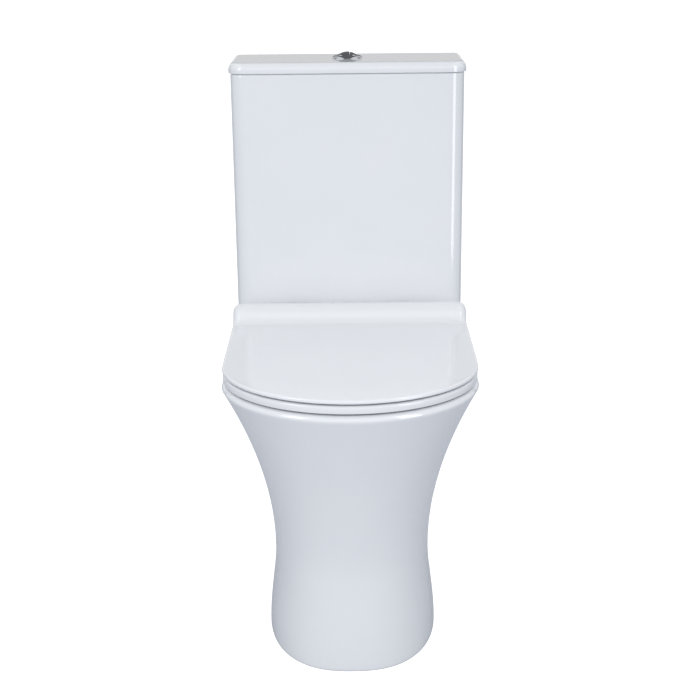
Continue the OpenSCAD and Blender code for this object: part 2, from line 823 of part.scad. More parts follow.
// The lever hangs towards the link when the cistern is empty, and swings up past level as it fills
module float_lever() {
    color(white_plastic) at(-fill_valve_x, cistern_mid_y + lever_y, lever_z) union() {
        bar_x(lever_pin_r, 2 * lever_ear_x + 5);
        rotate([lever_swing, 0, 0]) difference() {
            at(-lever_w / 2, -lever_arm - 9, -2) cube([lever_w, lever_arm + 12, 4]);
            at(-link_r - 0.5, -lever_arm - 6, -3) cube([2 * link_r + 1, 9, 6]);
        }
    }
}

module float_link() {
    link_top_z = lever_z - lever_arm * sin(lever_swing) + 8;
    link_z = cup_rest_z + cup_h - 4;
    color(steel) at(-fill_valve_x, cistern_mid_y + link_y, 0) {
        at(0, 0, link_z) cylinder(r = link_r, h = link_top_z - link_z);
        at(0, 0, link_top_z - 1.5) cylinder(r = 3, h = 1.5);
    }
}

// ---- flush button in the cistern lid ----

collar_floor_z = lid_top_z - 26;
collar_floor_t = 2;
collar_lip_h = 4;
rod_r = 2.5;
flange_round_r = 6.5;
module button_collar() {
    color(chrome) at(0, cistern_mid_y, 0) difference() {
        union() {
            at(0, 0, lid_top_z) rotate_extrude() intersection() {
                translate([collar_r - flange_round_r, collar_lip_h - flange_round_r])
                    circle(r = flange_round_r);
                square([collar_r, collar_lip_h]);
            }
            at(0, 0, lid_top_z) cylinder(r = collar_r - flange_round_r, h = collar_lip_h);
            at(0, 0, collar_floor_z) cylinder(r = collar_barrel_r, h = lid_top_z - collar_floor_z + 1);
        }
        at(0, 0, collar_floor_z + collar_floor_t) cylinder(r = collar_inner_r, h = 60);
        for (i = [0, 1])
            at(press_x[i], 0, collar_floor_z - 1) cylinder(r = rod_r + 0.5, h = collar_floor_t + 2);
    }
}

module collar_nut() {
    color(white_plastic) at(0, cistern_mid_y, lid_hollow_z - 8.3) difference() {
        union() {
            cylinder(r = collar_barrel_r + 5, h = 8);
            for (a = [0:30:330]) rotate(a) at(collar_barrel_r + 5, 0, 4) cube([3, 3, 8], center = true);
        }
        translate([0, 0, -1]) cylinder(r = collar_barrel_r, h = 10);
    }
}

button_skirt = 9;
split_x = 4;
split_gap = 0.6;
dome_r = (pow(button_r, 2) + pow(dome_h, 2)) / (2 * dome_h);
button_edge_z = lid_top_z + collar_lip_h - 0.5;
// One side of a domed disc that is split in two across X
module button_half(left) {
    at(0, cistern_mid_y, button_edge_z) intersection() {
        union() {
            at(0, 0, -button_skirt) cylinder(r = button_r, h = button_skirt);
            intersection() {
                at(0, 0, dome_h - dome_r) sphere(r = dome_r);
                at(0, 0, -1) cylinder(r = button_r, h = dome_h + 2);
            }
        }
        if (left) at(split_x - split_gap / 2 - 50, -50, -50) cube([50, 100, 100]);
        else at(split_x + split_gap / 2, -50, -50) cube([50, 100, 100]);
    }
}

module full_flush_button() { color(chrome) button_half(true); }
module half_flush_button() { color(chrome) button_half(false); }

rod_end_z = pad_rest_z + pad_head_t + 0.5;
module button_rod(i) {
    color(white_plastic) at(press_x[i], cistern_mid_y, rod_end_z)
        cylinder(r = rod_r, h = button_edge_z - button_skirt - rod_end_z);
}

// Wire coil between the collar's floor and the underside of a button
spring_turns = 4;
spring_ring_sides = 8;
spring_rings_per_turn = 14;
module button_spring(i) {
    wire = 0.45;
    coil_r = rod_r + 1.4;
    z0 = collar_floor_z + collar_floor_t + wire + 0.1;
    z1 = button_edge_z - button_skirt - wire - 0.1;
    count = spring_turns * spring_rings_per_turn;
    rings = [
        for (k = [0:count])
            let (a = 360 * k / spring_rings_per_turn, z = z0 + (z1 - z0) * k / count)
                [for (j = [0:spring_ring_sides - 1])
                    let (b = 360 * j / spring_ring_sides, r = coil_r + wire * cos(b))
                        [r * cos(a), r * sin(a), z + wire * sin(b)]]
    ];
    n = spring_ring_sides;
    m = len(rings);
    sides = [
        for (k = [0:m - 2]) for (j = [0:n - 1])
            let (a = k * n + j, b = k * n + (j + 1) % n) each [[a, b + n, a + n], [a, b, b + n]]
    ];
    ends = [[for (j = [n - 1:-1:0]) j], [for (j = [0:n - 1]) (m - 1) * n + j]];
    color(steel) at(press_x[i], cistern_mid_y, 0)
        polyhedron([for (r = rings) for (p = r) p], concat(sides, ends), convexity = 6);
}

// ---- seat ----

// Level outline of the seat: a half round front and straight sides
module seat_outline(inset, back_y) {
    r = seat_w / 2 - inset;
    nose_y = front_y + 1 + seat_w / 2;
    union() {
        intersection() {
            translate([0, nose_y]) circle(r = r);
            translate([-r, front_y]) square([2 * r, back_y - front_y]);
        }
        translate([-r, nose_y]) square([2 * r, back_y - nose_y]);
    }
}

hole_front_y = front_y + 62;
module seat_hole() {
    r = hole_w / 2;
    back_r = 60;
    union() {
        translate([0, hole_front_y + r]) circle(r = r);
        translate([-r, hole_front_y + r]) square([2 * r, hole_l - r - back_r]);
        translate([-r + back_r, hole_front_y + r]) square([2 * (r - back_r), hole_l - r]);
        for (s = [-1, 1]) translate([s * (r - back_r), hole_front_y + hole_l - back_r]) circle(r = back_r);
    }
}

ring_back_y = hinge_y - barrel_r - 2;
// Side view of the lug that carries the ring: an eye on a short neck that rises out of the ring
module ring_lug_side() {
    drop = hinge_z - ring_z;
    reach = hinge_y - ring_back_y;
    union() {
        circle(r = lug_r);
        polygon([
            [-reach - 10, -drop], [-reach - 10, -drop + ring_t], [-reach, -drop + ring_t],
            [-lug_r * cos(50), -lug_r * sin(50)], [0, 0], [-lug_r * sin(20), -lug_r * cos(20)],
            [-reach + 6, -drop],
        ]);
    }
}

module seat_ring() {
    color(seat_white) difference() {
        union() {
            at(0, 0, ring_z) linear_extrude(ring_t) difference() {
                seat_outline(1, ring_back_y);
                seat_hole();
            }
            both_sides(ring_lug_mid_x) at(0, hinge_y, hinge_z)
                rotate([90, 0, 90]) linear_extrude(ring_lug_w, center = true) ring_lug_side();
        }
        at(0, hinge_y, hinge_z) bar_x(bush_r, seat_w);
    }
}

// The lid wraps over the hinges as a barrel with rounded ends, open underneath
barrel_end_r = 13;
module barrel() {
    straight = seat_w / 2 - barrel_end_r;
    rotate([0, 90, 0]) rotate_extrude() union() {
        translate([0, -straight]) square([barrel_r, 2 * straight]);
        translate([0, -seat_w / 2]) square([barrel_r - barrel_end_r, seat_w]);
        for (s = [-1, 1]) translate([barrel_r - barrel_end_r, s * straight]) intersection() {
            circle(r = barrel_end_r);
            translate([0, -barrel_end_r]) square([barrel_end_r, 2 * barrel_end_r]);
        }
    }
}

module seat_lid() {
    inside_l = seat_w - 2 * barrel_end_r - 2;
    notch_w = 2 * block_half_w + 5;
    color(seat_white) difference() {
        union() {
            at(0, 0, seat_lid_z) linear_extrude(lid_plate_t)
                seat_outline(0, hinge_y - barrel_inner_r - 0.5);
            for (s = [-1, 1]) at(s * (seat_w / 2 - barrel_end_r), hinge_y - barrel_r, seat_lid_z)
                at(-barrel_end_r, 0, 0) cube([2 * barrel_end_r, barrel_r, lid_plate_t]);
            difference() {
                at(0, hinge_y, hinge_z) barrel();
                at(0, hinge_y, hinge_z) bar_x(barrel_inner_r, inside_l);
                at(-seat_w, hinge_y - 2 * barrel_r, seat_lid_z - 2 * barrel_r)
                    cube([2 * seat_w, 4 * barrel_r, 2 * barrel_r]);
                at(-inside_l / 2, hinge_y, hinge_z - 2 - 2 * barrel_r)
                    cube([inside_l, 2 * barrel_r, 2 * barrel_r]);
                both_sides(block_x) at(-notch_w / 2, hinge_y - barrel_inner_r + 2, hinge_z - barrel_r - 1)
                    cube([notch_w, 3 * barrel_r, barrel_r + 13]);
            }
            both_sides(lid_lug_mid_x) at(0, hinge_y, hinge_z) bar_x(barrel_inner_r + 1, lid_lug_w);
        }
        at(0, hinge_y, hinge_z) bar_x(bush_r, 2 * lid_lug_mid_x + lid_lug_w + 4);
    }
}

buffer_r = 7;
buffer_touch = 0.3;
// Four buffers, two near the front and two near the back, each a cylinder that hangs below height z
module buffers(half_front, front, half_back, back, r, z) {
    for (s = [-1, 1]) {
        at(s * half_front, front, z - buffer_t + buffer_touch) cylinder(r = r, h = buffer_t - buffer_touch);
        at(s * half_back, back, z - buffer_t + buffer_touch) cylinder(r = r, h = buffer_t - buffer_touch);
    }
}

module ring_buffers() {
    color(white_plastic)
        buffers(seat_w / 2 - 64, front_y + 72, seat_w / 2 - 34, ring_back_y - 55, buffer_r, ring_z);
}

module lid_buffers() {
    color(white_plastic)
        buffers(seat_w / 2 - 82, front_y + 62, seat_w / 2 - 32, ring_back_y - 35, buffer_r - 2, seat_lid_z);
}

// ---- seat hinges ----

pillar_top_z = hinge_z - hinge_pin_r - 1.5;
hinge_stud_l = 36;
module hinge_pillars() {
    base_z = rim_h + gasket_t;
    color(chrome) both_sides(block_x) at(0, hinge_y, base_z) {
        cylinder(r1 = pillar_base_r, r2 = pillar_base_r - 1, h = pillar_base_t);
        cylinder(r = pillar_r, h = pillar_top_z - base_z);
        at(0, 0, 1 - hinge_stud_l) cylinder(r = hinge_stud_r, h = hinge_stud_l);
    }
}

module hinge_gaskets() {
    color(rubber) both_sides(block_x)
        at(0, hinge_y, rim_h) tube(pillar_base_r - 0.5, hinge_stud_r, gasket_t);
}

module hinge_washers() {
    color(rubber) both_sides(block_x) at(0, hinge_y, deck_under_z - 3) rotate_extrude() polygon([
        [hinge_stud_r, 0], [13, 0], [13, 3], [hinge_hole_r - 0.5, 3],
        [hinge_hole_r - 1.5, 9], [hinge_stud_r, 9],
    ]);
}

module hinge_nuts() {
    color(white_plastic) both_sides(block_x) at(0, hinge_y, deck_under_z - 3) mirror([0, 0, 1])
        wing_nut(hinge_stud_r, 7, 8, 26);
}

neck_half_l = 8;
module hinge_blocks() {
    base_z = rim_h + gasket_t + pillar_base_t + 0.2;
    color(white_plastic) both_sides(block_x) at(0, hinge_y, 0) difference() {
        union() {
            at(0, 0, hinge_z) bar_x(lug_r, 2 * block_half_w);
            at(-block_half_w, -neck_half_l, base_z)
                cube([2 * block_half_w, 2 * neck_half_l, hinge_z - base_z]);
        }
        at(0, 0, base_z - 1) cylinder(r = pillar_r, h = pillar_top_z - base_z + 1);
        at(0, 0, hinge_z) bar_x(hinge_pin_r, 2 * block_half_w + 2);
    }
}

pin_in_x = lid_lug_mid_x - lid_lug_w / 2 - 1;
pin_out_x = ring_lug_mid_x + ring_lug_w / 2 + 1;
module hinge_pins() {
    color(steel) both_sides((pin_in_x + pin_out_x) / 2) at(0, hinge_y, hinge_z)
        bar_x(hinge_pin_r, pin_out_x - pin_in_x);
}

// Sleeve in a lug that turns on the hinge pin
module sleeve(x, w) {
    at(x, hinge_y, hinge_z) difference() {
        bar_x(bush_r, w);
        bar_x(hinge_pin_r + running_gap, w + 2);
    }
}
module seat_damper() { color(steel) sleeve(-ring_lug_mid_x, ring_lug_w); }
module seat_hinge_bush() { color(white_plastic) sleeve(ring_lug_mid_x, ring_lug_w); }
module lid_damper() { color(steel) sleeve(lid_lug_mid_x, lid_lug_w); }
module lid_hinge_bush() { color(white_plastic) sleeve(-lid_lug_mid_x, lid_lug_w); }

// ---- floor fixing ----

bracket_t = 3;
bracket_l = 40;
bracket_foot_w = 38;
bracket_x = rear_w / 2 - pan_wall - 1;
bracket_hole_x = bracket_x - 22;
bracket_hole_r = 4;
module left_and_right() {
    children();
    mirror([1, 0, 0]) children();
}

module floor_brackets() {
    color(white_plastic) left_and_right() at(0, side_screw_y, 0) difference() {
        union() {
            at(bracket_x - bracket_t, -bracket_l / 2, 0) cube([bracket_t, bracket_l, side_screw_h + 18]);
            at(bracket_x - bracket_foot_w, -bracket_l / 2, 0) cube([bracket_foot_w, bracket_l, bracket_t]);
            at(bracket_x - bracket_t - 5, 0, side_screw_h) bar_x(8, 12);
        }
        at(bracket_x, 0, side_screw_h) bar_x(side_screw_r, 60);
        at(bracket_hole_x, 0, -1) cylinder(r = bracket_hole_r, h = bracket_t + 2);
    }
}

side_screw_head_t = 2;
module side_screws() {
    color(steel) left_and_right() at(spot_x, side_screw_y, side_screw_h) {
        at(-14, 0, 0) bar_x(side_screw_r, 30);
        at(side_screw_head_t / 2, 0, 0) bar_x(5.5, side_screw_head_t);
    }
}

module screw_caps() {
    cap_t = 4.5;
    color(china) left_and_right() at(spot_x, side_screw_y, side_screw_h) difference() {
        at(cap_t / 2, 0, 0) bar_x(cap_r, cap_t);
        at(0.7, 0, 0) bar_x(cap_r - 2.5, 2 * side_screw_head_t);
    }
}

pan();
pan_bowl();
pan_trap();
flush_duct();
cistern();
cistern_lid();
coupling_plate();
coupling_bolts();
bolt_cone_washers();
bolt_deck_washers();
bolt_wing_nuts();
doughnut_seal();
flush_valve_base();
flush_valve_washer();
flush_valve_backnut();
flush_valve_tower();
overflow_tube();
flush_seal();
valve_float();
flush_pad(0);  // full_flush_pad
flush_pad(1);  // half_flush_pad
fill_valve_body();
fill_valve_washer();
fill_valve_backnut();
fill_valve_cap();
float_cup();
float_lever();
float_link();
button_collar();
collar_nut();
full_flush_button();
half_flush_button();
button_rod(0);  // full_flush_rod
button_rod(1);  // half_flush_rod
button_spring(0);  // full_flush_spring
button_spring(1);  // half_flush_spring
seat_ring();
seat_lid();
ring_buffers();
lid_buffers();
hinge_pillars();
hinge_gaskets();
hinge_washers();
hinge_nuts();
hinge_blocks();
hinge_pins();
seat_damper();
seat_hinge_bush();
lid_damper();
lid_hinge_bush();
floor_brackets();
side_screws();
screw_caps();
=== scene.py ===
# %% [markdown]
# # A close coupled toilet
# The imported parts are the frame: every size and place below comes from them. This lesson gives the
# china, the seat and the chrome button smooth surfaces worked out with numpy, and every piece a finish
# made of shader nodes. Lengths are in metres, +X is right seen from the front, +Y points to the wall.

import bmesh
import bpy
import numpy as np
from mathutils import Matrix, Vector
from mathutils.geometry import delaunay_2d_cdt


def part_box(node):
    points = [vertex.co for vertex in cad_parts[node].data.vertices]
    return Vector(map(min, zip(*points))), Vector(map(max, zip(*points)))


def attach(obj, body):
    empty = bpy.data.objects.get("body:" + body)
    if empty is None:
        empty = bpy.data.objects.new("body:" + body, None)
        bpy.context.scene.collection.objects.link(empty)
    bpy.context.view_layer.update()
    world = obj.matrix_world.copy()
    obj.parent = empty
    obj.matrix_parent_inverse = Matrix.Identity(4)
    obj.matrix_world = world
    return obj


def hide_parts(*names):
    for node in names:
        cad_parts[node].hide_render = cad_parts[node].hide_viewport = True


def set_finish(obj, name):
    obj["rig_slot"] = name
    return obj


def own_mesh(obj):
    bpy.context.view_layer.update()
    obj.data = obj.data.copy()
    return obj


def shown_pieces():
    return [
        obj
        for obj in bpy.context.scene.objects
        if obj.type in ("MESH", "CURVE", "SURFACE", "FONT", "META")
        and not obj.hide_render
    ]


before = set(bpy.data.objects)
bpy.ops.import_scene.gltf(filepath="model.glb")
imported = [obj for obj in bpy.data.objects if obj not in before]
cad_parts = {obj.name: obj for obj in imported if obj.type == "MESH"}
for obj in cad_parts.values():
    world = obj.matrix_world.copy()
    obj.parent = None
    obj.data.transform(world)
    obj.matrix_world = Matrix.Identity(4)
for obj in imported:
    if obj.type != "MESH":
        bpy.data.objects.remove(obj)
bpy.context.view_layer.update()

mm = 0.001

# %% [markdown]
# ## From arrays to closed meshes
# A surface is a grid of points: rows run one way, columns the other. Level or upright flat areas with
# holes in them can't be one grid, so they are filled with triangles between their outlines. Modelling
# with a mouse would give the same shapes, but a formula keeps every wall in step with the frame's sizes.

# %% The quads of a grid
weld_gap, same_point, no_rise = 3e-6, 1e-9, 1e-12


def grid_quads(rows, columns, around, first):
    """Corner numbers of a grid's quads. Point (i, j) has number first + i * columns + j."""
    i = np.arange(rows - 1)[:, None]
    j = np.arange(columns if around else columns - 1)[None, :]
    k = (j + 1) % columns
    corners = [i * columns + j, i * columns + k, (i + 1) * columns + k, (i + 1) * columns + j]
    return first + np.stack(corners, -1).reshape(-1, 4)


print("a closed grid of 3 rows and 8 columns has", len(grid_quads(3, 8, True, 0)), "quads")

# %% Flat areas between outlines
def inside_loops(points, loops):
    """True where a ray to the right of a point crosses the loops' edges an odd number of times."""
    start = np.concatenate(loops)
    end = np.concatenate([np.roll(loop, -1, 0) for loop in loops])
    x, y = points[:, None, 0], points[:, None, 1]
    spans = (start[:, 1] > y) != (end[:, 1] > y)
    climb = end[:, 1] - start[:, 1]
    climb = np.where(np.abs(climb) < no_rise, 1.0, climb)
    meets = start[:, 0] + (y - start[:, 1]) / climb * (end[:, 0] - start[:, 0])
    return (spans & (x < meets)).sum(1) % 2 == 1


def flat_fill(loops, place):
    """Triangles between flat loops, by constrained Delaunay. place turns flat points into 3-D ones."""
    counts = [len(loop) for loop in loops]
    firsts = np.cumsum([0] + counts[:-1])
    edges = [
        np.stack([first + np.arange(n), first + (np.arange(n) + 1) % n], 1)
        for first, n in zip(firsts, counts)
    ]
    flat = [Vector(p) for p in np.concatenate(loops).tolist()]
    made = delaunay_2d_cdt(flat, np.concatenate(edges).tolist(), [], 0, same_point)
    points = np.array([tuple(p) for p in made[0]])
    faces = np.array(made[2])
    return place(points), faces[inside_loops(points[faces].mean(1), loops)]


def level(z):
    """Puts flat points at height z."""
    return lambda p: np.column_stack([p, np.full(len(p), z)])


def upright(y):
    """Puts flat points (x, z) on the plane at distance y."""
    return lambda p: np.column_stack([p[:, 0], np.full(len(p), y), p[:, 1]])

# %% One mesh from many grids
def build(name, grids, fills=(), sharp=38):
    """One smooth mesh from grids (points, around) and fills (points, triangles), its doubles merged."""
    points, faces, first = [], [], 0
    for grid, around in grids:
        points.append(grid.reshape(-1, 3))
        faces += grid_quads(*grid.shape[:2], around, first).tolist()
        first += len(points[-1])
    for filled, triangles in fills:
        points.append(filled)
        faces += (triangles + first).tolist()
        first += len(filled)
    mesh = bpy.data.meshes.new(name)
    mesh.from_pydata(np.concatenate(points).tolist(), [], faces)
    welded = bmesh.new()
    welded.from_mesh(mesh)
    bmesh.ops.remove_doubles(welded, verts=welded.verts, dist=weld_gap)
    bmesh.ops.recalc_face_normals(welded, faces=welded.faces)
    welded.to_mesh(mesh)
    welded.free()
    piece = bpy.data.objects.new(name, mesh)
    bpy.context.scene.collection.objects.link(piece)
    smooth(piece, sharp)
    return piece


def smooth(piece, sharp):
    """Smooth shading with creases where two faces meet at more than sharp degrees."""
    mesh = piece.data
    mesh.polygons.foreach_set("use_smooth", np.ones(len(mesh.polygons), bool))
    mesh.set_sharp_from_angle(angle=np.radians(sharp))
    mesh.update()

# %% Measure a piece and cut holes in it
def told(piece):
    """Prints a piece's faces, its open edges and its volume, found as the sum of its corner pyramids."""
    mesh = piece.data
    used = np.zeros(len(mesh.loops), int)
    mesh.loops.foreach_get("edge_index", used)
    open_edges = int((np.bincount(used, minlength=len(mesh.edges)) != 2).sum())
    mesh.calc_loop_triangles()
    corners = np.zeros(len(mesh.loop_triangles) * 3, int)
    mesh.loop_triangles.foreach_get("vertices", corners)
    where = np.zeros(len(mesh.vertices) * 3)
    mesh.vertices.foreach_get("co", where)
    a, b, c = where.reshape(-1, 3)[corners.reshape(-1, 3)].transpose(1, 0, 2)
    litres = np.einsum("ij,ij->i", a, np.cross(b, c)).sum() / 6 * 1000
    print(f"{piece.name}: {len(corners) // 3} triangles, {open_edges} open edges, {litres:.4f} litres")
    return piece


def cut(piece, grids, sharp=38):
    """Takes closed shapes, given as grids, out of a piece with one Boolean and keeps the result."""
    cutter = build("cutter", grids)
    step = piece.modifiers.new("cut", "BOOLEAN")
    step.operation, step.solver, step.object = "DIFFERENCE", "MANIFOLD", cutter
    view = bpy.context.evaluated_depsgraph_get()
    piece.data = bpy.data.meshes.new_from_object(piece.evaluated_get(view))
    piece.modifiers.clear()
    piece.data.materials.clear()
    bpy.data.objects.remove(cutter)
    smooth(piece, sharp)
    return piece

# %% Small shapes used often
askew = [0.36, 0.48, 0.8]


def ease(t):
    """Rises from 0 to 1 with level ends: 3 t squared less 2 t cubed."""
    t = np.clip(t, 0, 1)
    return t * t * (3 - 2 * t)


def circle(x, y, r, n=64):
    """n points round a circle."""
    a = np.linspace(0, 2 * np.pi, n, endpoint=False)
    return np.column_stack([x + r * np.cos(a), y + r * np.sin(a)])


def turned(origin, along, profile, n=48):
    """A grid turned about the line through origin: profile lists (distance along it, radius)."""
    along = np.array(along, float) / np.linalg.norm(along)
    side = np.cross(along, askew)
    side /= np.linalg.norm(side)
    a = np.linspace(0, 2 * np.pi, n, endpoint=False)[:, None]
    ring = np.cos(a) * side + np.sin(a) * np.cross(along, side)
    far, r = np.array(profile, float).T[:, :, None, None]
    return np.array(origin, float) + far * along + r * ring, True


def bar(origin, along, start, end, r):
    """A closed round bar between two distances along a line."""
    return turned(origin, along, [(start, 0), (start, r), (end, r), (end, 0)])


def block(low, high):
    """A closed box between two corners, as a grid whose poles are two of its faces' middles."""
    (x0, y0, z0), (x1, y1, z1) = low, high
    ring = [(x0, y0), (x1, y0), (x1, y1), (x0, y1)]
    mid = [((x0 + x1) / 2, (y0 + y1) / 2)] * 4
    levels = ((mid, z0), (ring, z0), (ring, z1), (mid, z1))
    return np.array([[(x, y, z) for x, y in loop] for loop, z in levels]), True


def bevel_arc(r, steps):
    """Quarter round: pairs (distance from the side, distance from the end) from side to end."""
    a = np.linspace(0, np.pi / 2, steps)
    return r * (1 - np.cos(a)), r * (1 - np.sin(a))


print("halfway up, ease gives", ease(0.5), "and a 10 mm bevel starts at", bevel_arc(10, 5)[1][0], "mm")

# %% [markdown]
# ## The pan
# Vitreous china is slip cast in a plaster mould, so a pan has no flat faces or sharp corners except
# where it meets the floor. Seen from above it is a rounded oblong. Going up, it narrows to a waist and
# then flares like a trumpet to the rim. Each level is one outline, so the skin is one grid: heights run
# up the rows, the outline runs along the columns. The same grid comes back down inside as the hollow.

# %% The pan's outline
pan_low, pan_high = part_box("pan")
front, back, rim_z, rim_half = pan_low.y, pan_high.y, pan_high.z, pan_high.x
rim_edge, deck, clay = 8 * mm, 12 * mm, 11 * mm
deck_under, flare_top = rim_z - deck, rim_z - rim_edge
waist_z, waist_half, foot_half, rear_half = 138 * mm, 113.5 * mm, 125 * mm, 110 * mm
waist_back, foot_back = 71 * mm, 69 * mm
rim_side = front + rim_half
waist_side, foot_side = rim_side + 59 * mm, rim_side + 105 * mm
shoulder_start, shoulder_end = 130 * mm, 200 * mm
nose_power, foot_square = 1.55, 0.45
nose_steps, flank_steps, shoulder_steps, tail_steps, hollow_steps = 72, 15, 25, 9, 36


def pan_shape(z):
    """Half width, front, start of the straight sides and corner power at height z.

    Above the waist the half width grows as the height squared and the front moves out as its 1.55
    power. Below it, both ease out to the foot. The corners are squarer the lower they are.
    """
    up = np.clip((z - waist_z) / (flare_top - waist_z), 0, 1)
    down = np.clip((waist_z - z) / waist_z, 0, 1)
    half = waist_half + (rim_half - waist_half) * up**2 + (foot_half - waist_half) * ease(down)
    nose = front + waist_back * (1 - up**nose_power) + (foot_back - waist_back) * ease(down)
    side = waist_side + (rim_side - waist_side) * up + (foot_side - waist_side) * down
    return half, nose, side, 2 / (2 + foot_square * (1 - z / rim_z))


def pan_rows(z, inset):
    """Outlines at heights z, drawn in by inset: superellipse nose, straight flanks, eased shoulders."""
    z, inset = z[:, None], inset[:, None]
    half, nose, side, e = pan_shape(np.minimum(z, flare_top))
    a = np.linspace(0, np.pi / 2, nose_steps)
    nose_x = (half - inset) * np.sin(a) ** e
    nose_y = side - (side - nose - inset) * np.cos(a) ** e
    flank = side + (shoulder_start - side) * np.linspace(0, 1, flank_steps)[1:]
    shoulder = np.linspace(shoulder_start, shoulder_end, shoulder_steps)[1:] + 0 * side
    tail = np.linspace(shoulder_end, back, tail_steps)[1:] + 0 * side
    y = np.concatenate([flank, shoulder, tail], 1)
    turn = ease((y - shoulder_start) / (shoulder_end - shoulder_start))
    x = np.concatenate([nose_x, half + (rear_half - half) * turn - inset], 1)
    y = np.concatenate([nose_y, y], 1)
    x, y = np.concatenate([-x[:, :0:-1], x], 1), np.concatenate([y[:, :0:-1], y], 1)
    return np.stack([x, y, z + 0 * x], -1)


foot_r, flat_steps = 3 * mm, np.array([1.0, 3.0]) * mm
foot_in, foot_up = bevel_arc(foot_r, 6)
edge_in, edge_down = bevel_arc(rim_edge, 10)
rise = np.linspace(foot_r, flare_top, 100)[1:-1]
hollow_z = np.linspace(deck_under, 0, hollow_steps)
skin_z = np.concatenate([hollow_z, foot_up[::-1], rise, rim_z - edge_down, [rim_z, rim_z]])
skin_in = np.concatenate([0 * hollow_z + clay, foot_in[::-1], 0 * rise, edge_in, rim_edge + flat_steps])
skin = pan_rows(skin_z, skin_in)
print("the pan's skin is a grid of", skin.shape[:2])

# %% [markdown]
# ## The bowl
# The bowl is a stack of outlines that shrink towards the sump. Below the water line a real bowl turns
# back into the trap, so there the outlines swing like a fan about the lip of the trap, from level to
# upright, and end as a round tube. One grid runs from the rim's flat top over the lip, down the inside,
# through the fan, round the tube's end and back up the outside of the wall.

# %% The bowl's inside and outside
mouth_front, mouth_back, mouth_half = -262 * mm, 62 * mm, 137 * mm
sump_z, sump_half, wall, lip = 42 * mm, 30 * mm, 10 * mm, 7 * mm
sump_front, sump_back = mouth_front + 190 * mm, mouth_back - 12 * mm
trap_r, trap_top = 38 * mm, 118 * mm
bowl_power, oblong_power, back_lift = 0.6, 0.87, 0.9
around = np.linspace(0, 2 * np.pi, 144, endpoint=False)


def bowl_size(z):
    """Half width, front and back of the bowl at height z: they open out as a 0.6 power of the height."""
    t = np.clip((z - sump_z) / (rim_z - sump_z), 0, 1) ** bowl_power
    return (
        sump_half + (mouth_half - sump_half) * t,
        sump_front + (mouth_front - sump_front) * t,
        sump_back + (mouth_back - sump_back) * t,
    )


def ring(half, far, near, power=oblong_power):
    """Rounded oblongs of a half width between points far and near (y, z), one row for each."""
    power = np.broadcast_to(power, half.shape)[:, None]
    c = np.sign(np.cos(around)) * np.abs(np.cos(around)) ** power
    s = np.sign(np.sin(around)) * np.abs(np.sin(around)) ** power
    yz = (near + far)[:, None] / 2 + (near - far)[:, None] / 2 * s[..., None]
    return np.concatenate([half[:, None, None] * c[..., None], yz], -1)


def bowl_rows(z, out):
    """Level outlines of the bowl, let out by out."""
    half, ahead, behind = bowl_size(z)
    return ring(half + out, np.column_stack([ahead - out, z]), np.column_stack([behind + out, z]))


pivot = np.array([bowl_size(trap_top)[2], trap_top])
low_z = np.linspace(trap_top, sump_z, 200)
wall_line = np.column_stack([bowl_size(low_z)[1], low_z])
floor_line = np.linspace([bowl_size(sump_z)[1], sump_z], [pivot[0], sump_z], 80)[1:]
away = np.concatenate([wall_line, floor_line]) - pivot
turn = np.linspace(0, np.pi / 2, 30)
reach = np.interp(turn, np.arctan2(-away[:, 1], -away[:, 0]), np.hypot(*away.T))[:, None]
swing = np.column_stack([-np.cos(turn), -np.sin(turn)])
fan_half = trap_r + (bowl_size(trap_top)[0] - trap_r) * (1 - ease(turn / turn[-1]))
fan_power = oblong_power + (1 - oblong_power) * ease(turn / turn[-1])
slide = np.column_stack([np.sin(turn), 0 * turn]) * wall
fan_in = ring(fan_half, pivot + reach * swing, pivot + 0 * swing, fan_power)
fan_out = ring(
    fan_half + wall,
    pivot + (reach + wall) * swing + slide,
    pivot + np.column_stack([0 * turn + wall, back_lift * wall * np.sin(turn)]),
    fan_power,
)
lip_in, lip_down = bevel_arc(lip, 8)
lip_out = np.concatenate([lip + flat_steps[::-1], lip_in[::-1]])
lip_z = np.concatenate([[rim_z, rim_z], rim_z - lip_down[::-1]])
inner_z = np.linspace(rim_z - lip, trap_top, 60)[1:-1]
outer_z = np.linspace(trap_top, deck_under, 30)
bowl = np.concatenate([
    bowl_rows(lip_z, lip_out), bowl_rows(inner_z, 0 * inner_z), fan_in, fan_in[-1:] + [0, wall, 0],
    fan_out[::-1], bowl_rows(outer_z, wall + 0 * outer_z),
])
print("the bowl is a grid of", bowl.shape[:2])

# %% [markdown]
# ## Deck, back and drilled holes
# The top of the deck is flat between the rim's edge and the bowl's mouth, and so is its underside. The
# back stands open, as on a real pan that hides its pipework. The wet clay is drilled for the seat's
# hinges, the cistern's bolts, the flush way and the side screws, and a Boolean does the same here.

# %% Close and drill the pan
deck_top = flat_fill([skin[-1, :, :2], bowl[0, :, :2]], level(rim_z))
deck_below = flat_fill([skin[0, :, :2], bowl[-1, :, :2]], level(deck_under))
outside, inside = skin[hollow_steps:-2], skin[:hollow_steps]
back_loop = np.concatenate([
    outside[:, 0, ::2], skin[-2:, 0, ::2], skin[-2:, -1, ::2][::-1], outside[::-1, -1, ::2],
    inside[::-1, -1, ::2], inside[:, 0, ::2],
])
back_edge = flat_fill([back_loop], upright(back))
pan = build("pan_glazed", [(skin, False), (bowl, True)], [deck_top, deck_below, back_edge])
cistern_low, cistern_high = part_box("cistern")
mid_y = (cistern_low.y + cistern_high.y) / 2
hinge_x, hinge_y = 77.5 * mm, 124 * mm
bolt_x, bolt_hole_r, hinge_hole_r, flush_way_r = 75 * mm, 6 * mm, 8 * mm, 51 * mm
drill_z, drill_long, down, upwards, to_wall = rim_z + 5 * mm, 30 * mm, (0, 0, -1), (0, 0, 1), (0, 1, 0)
spots = [(0, mid_y, flush_way_r)]
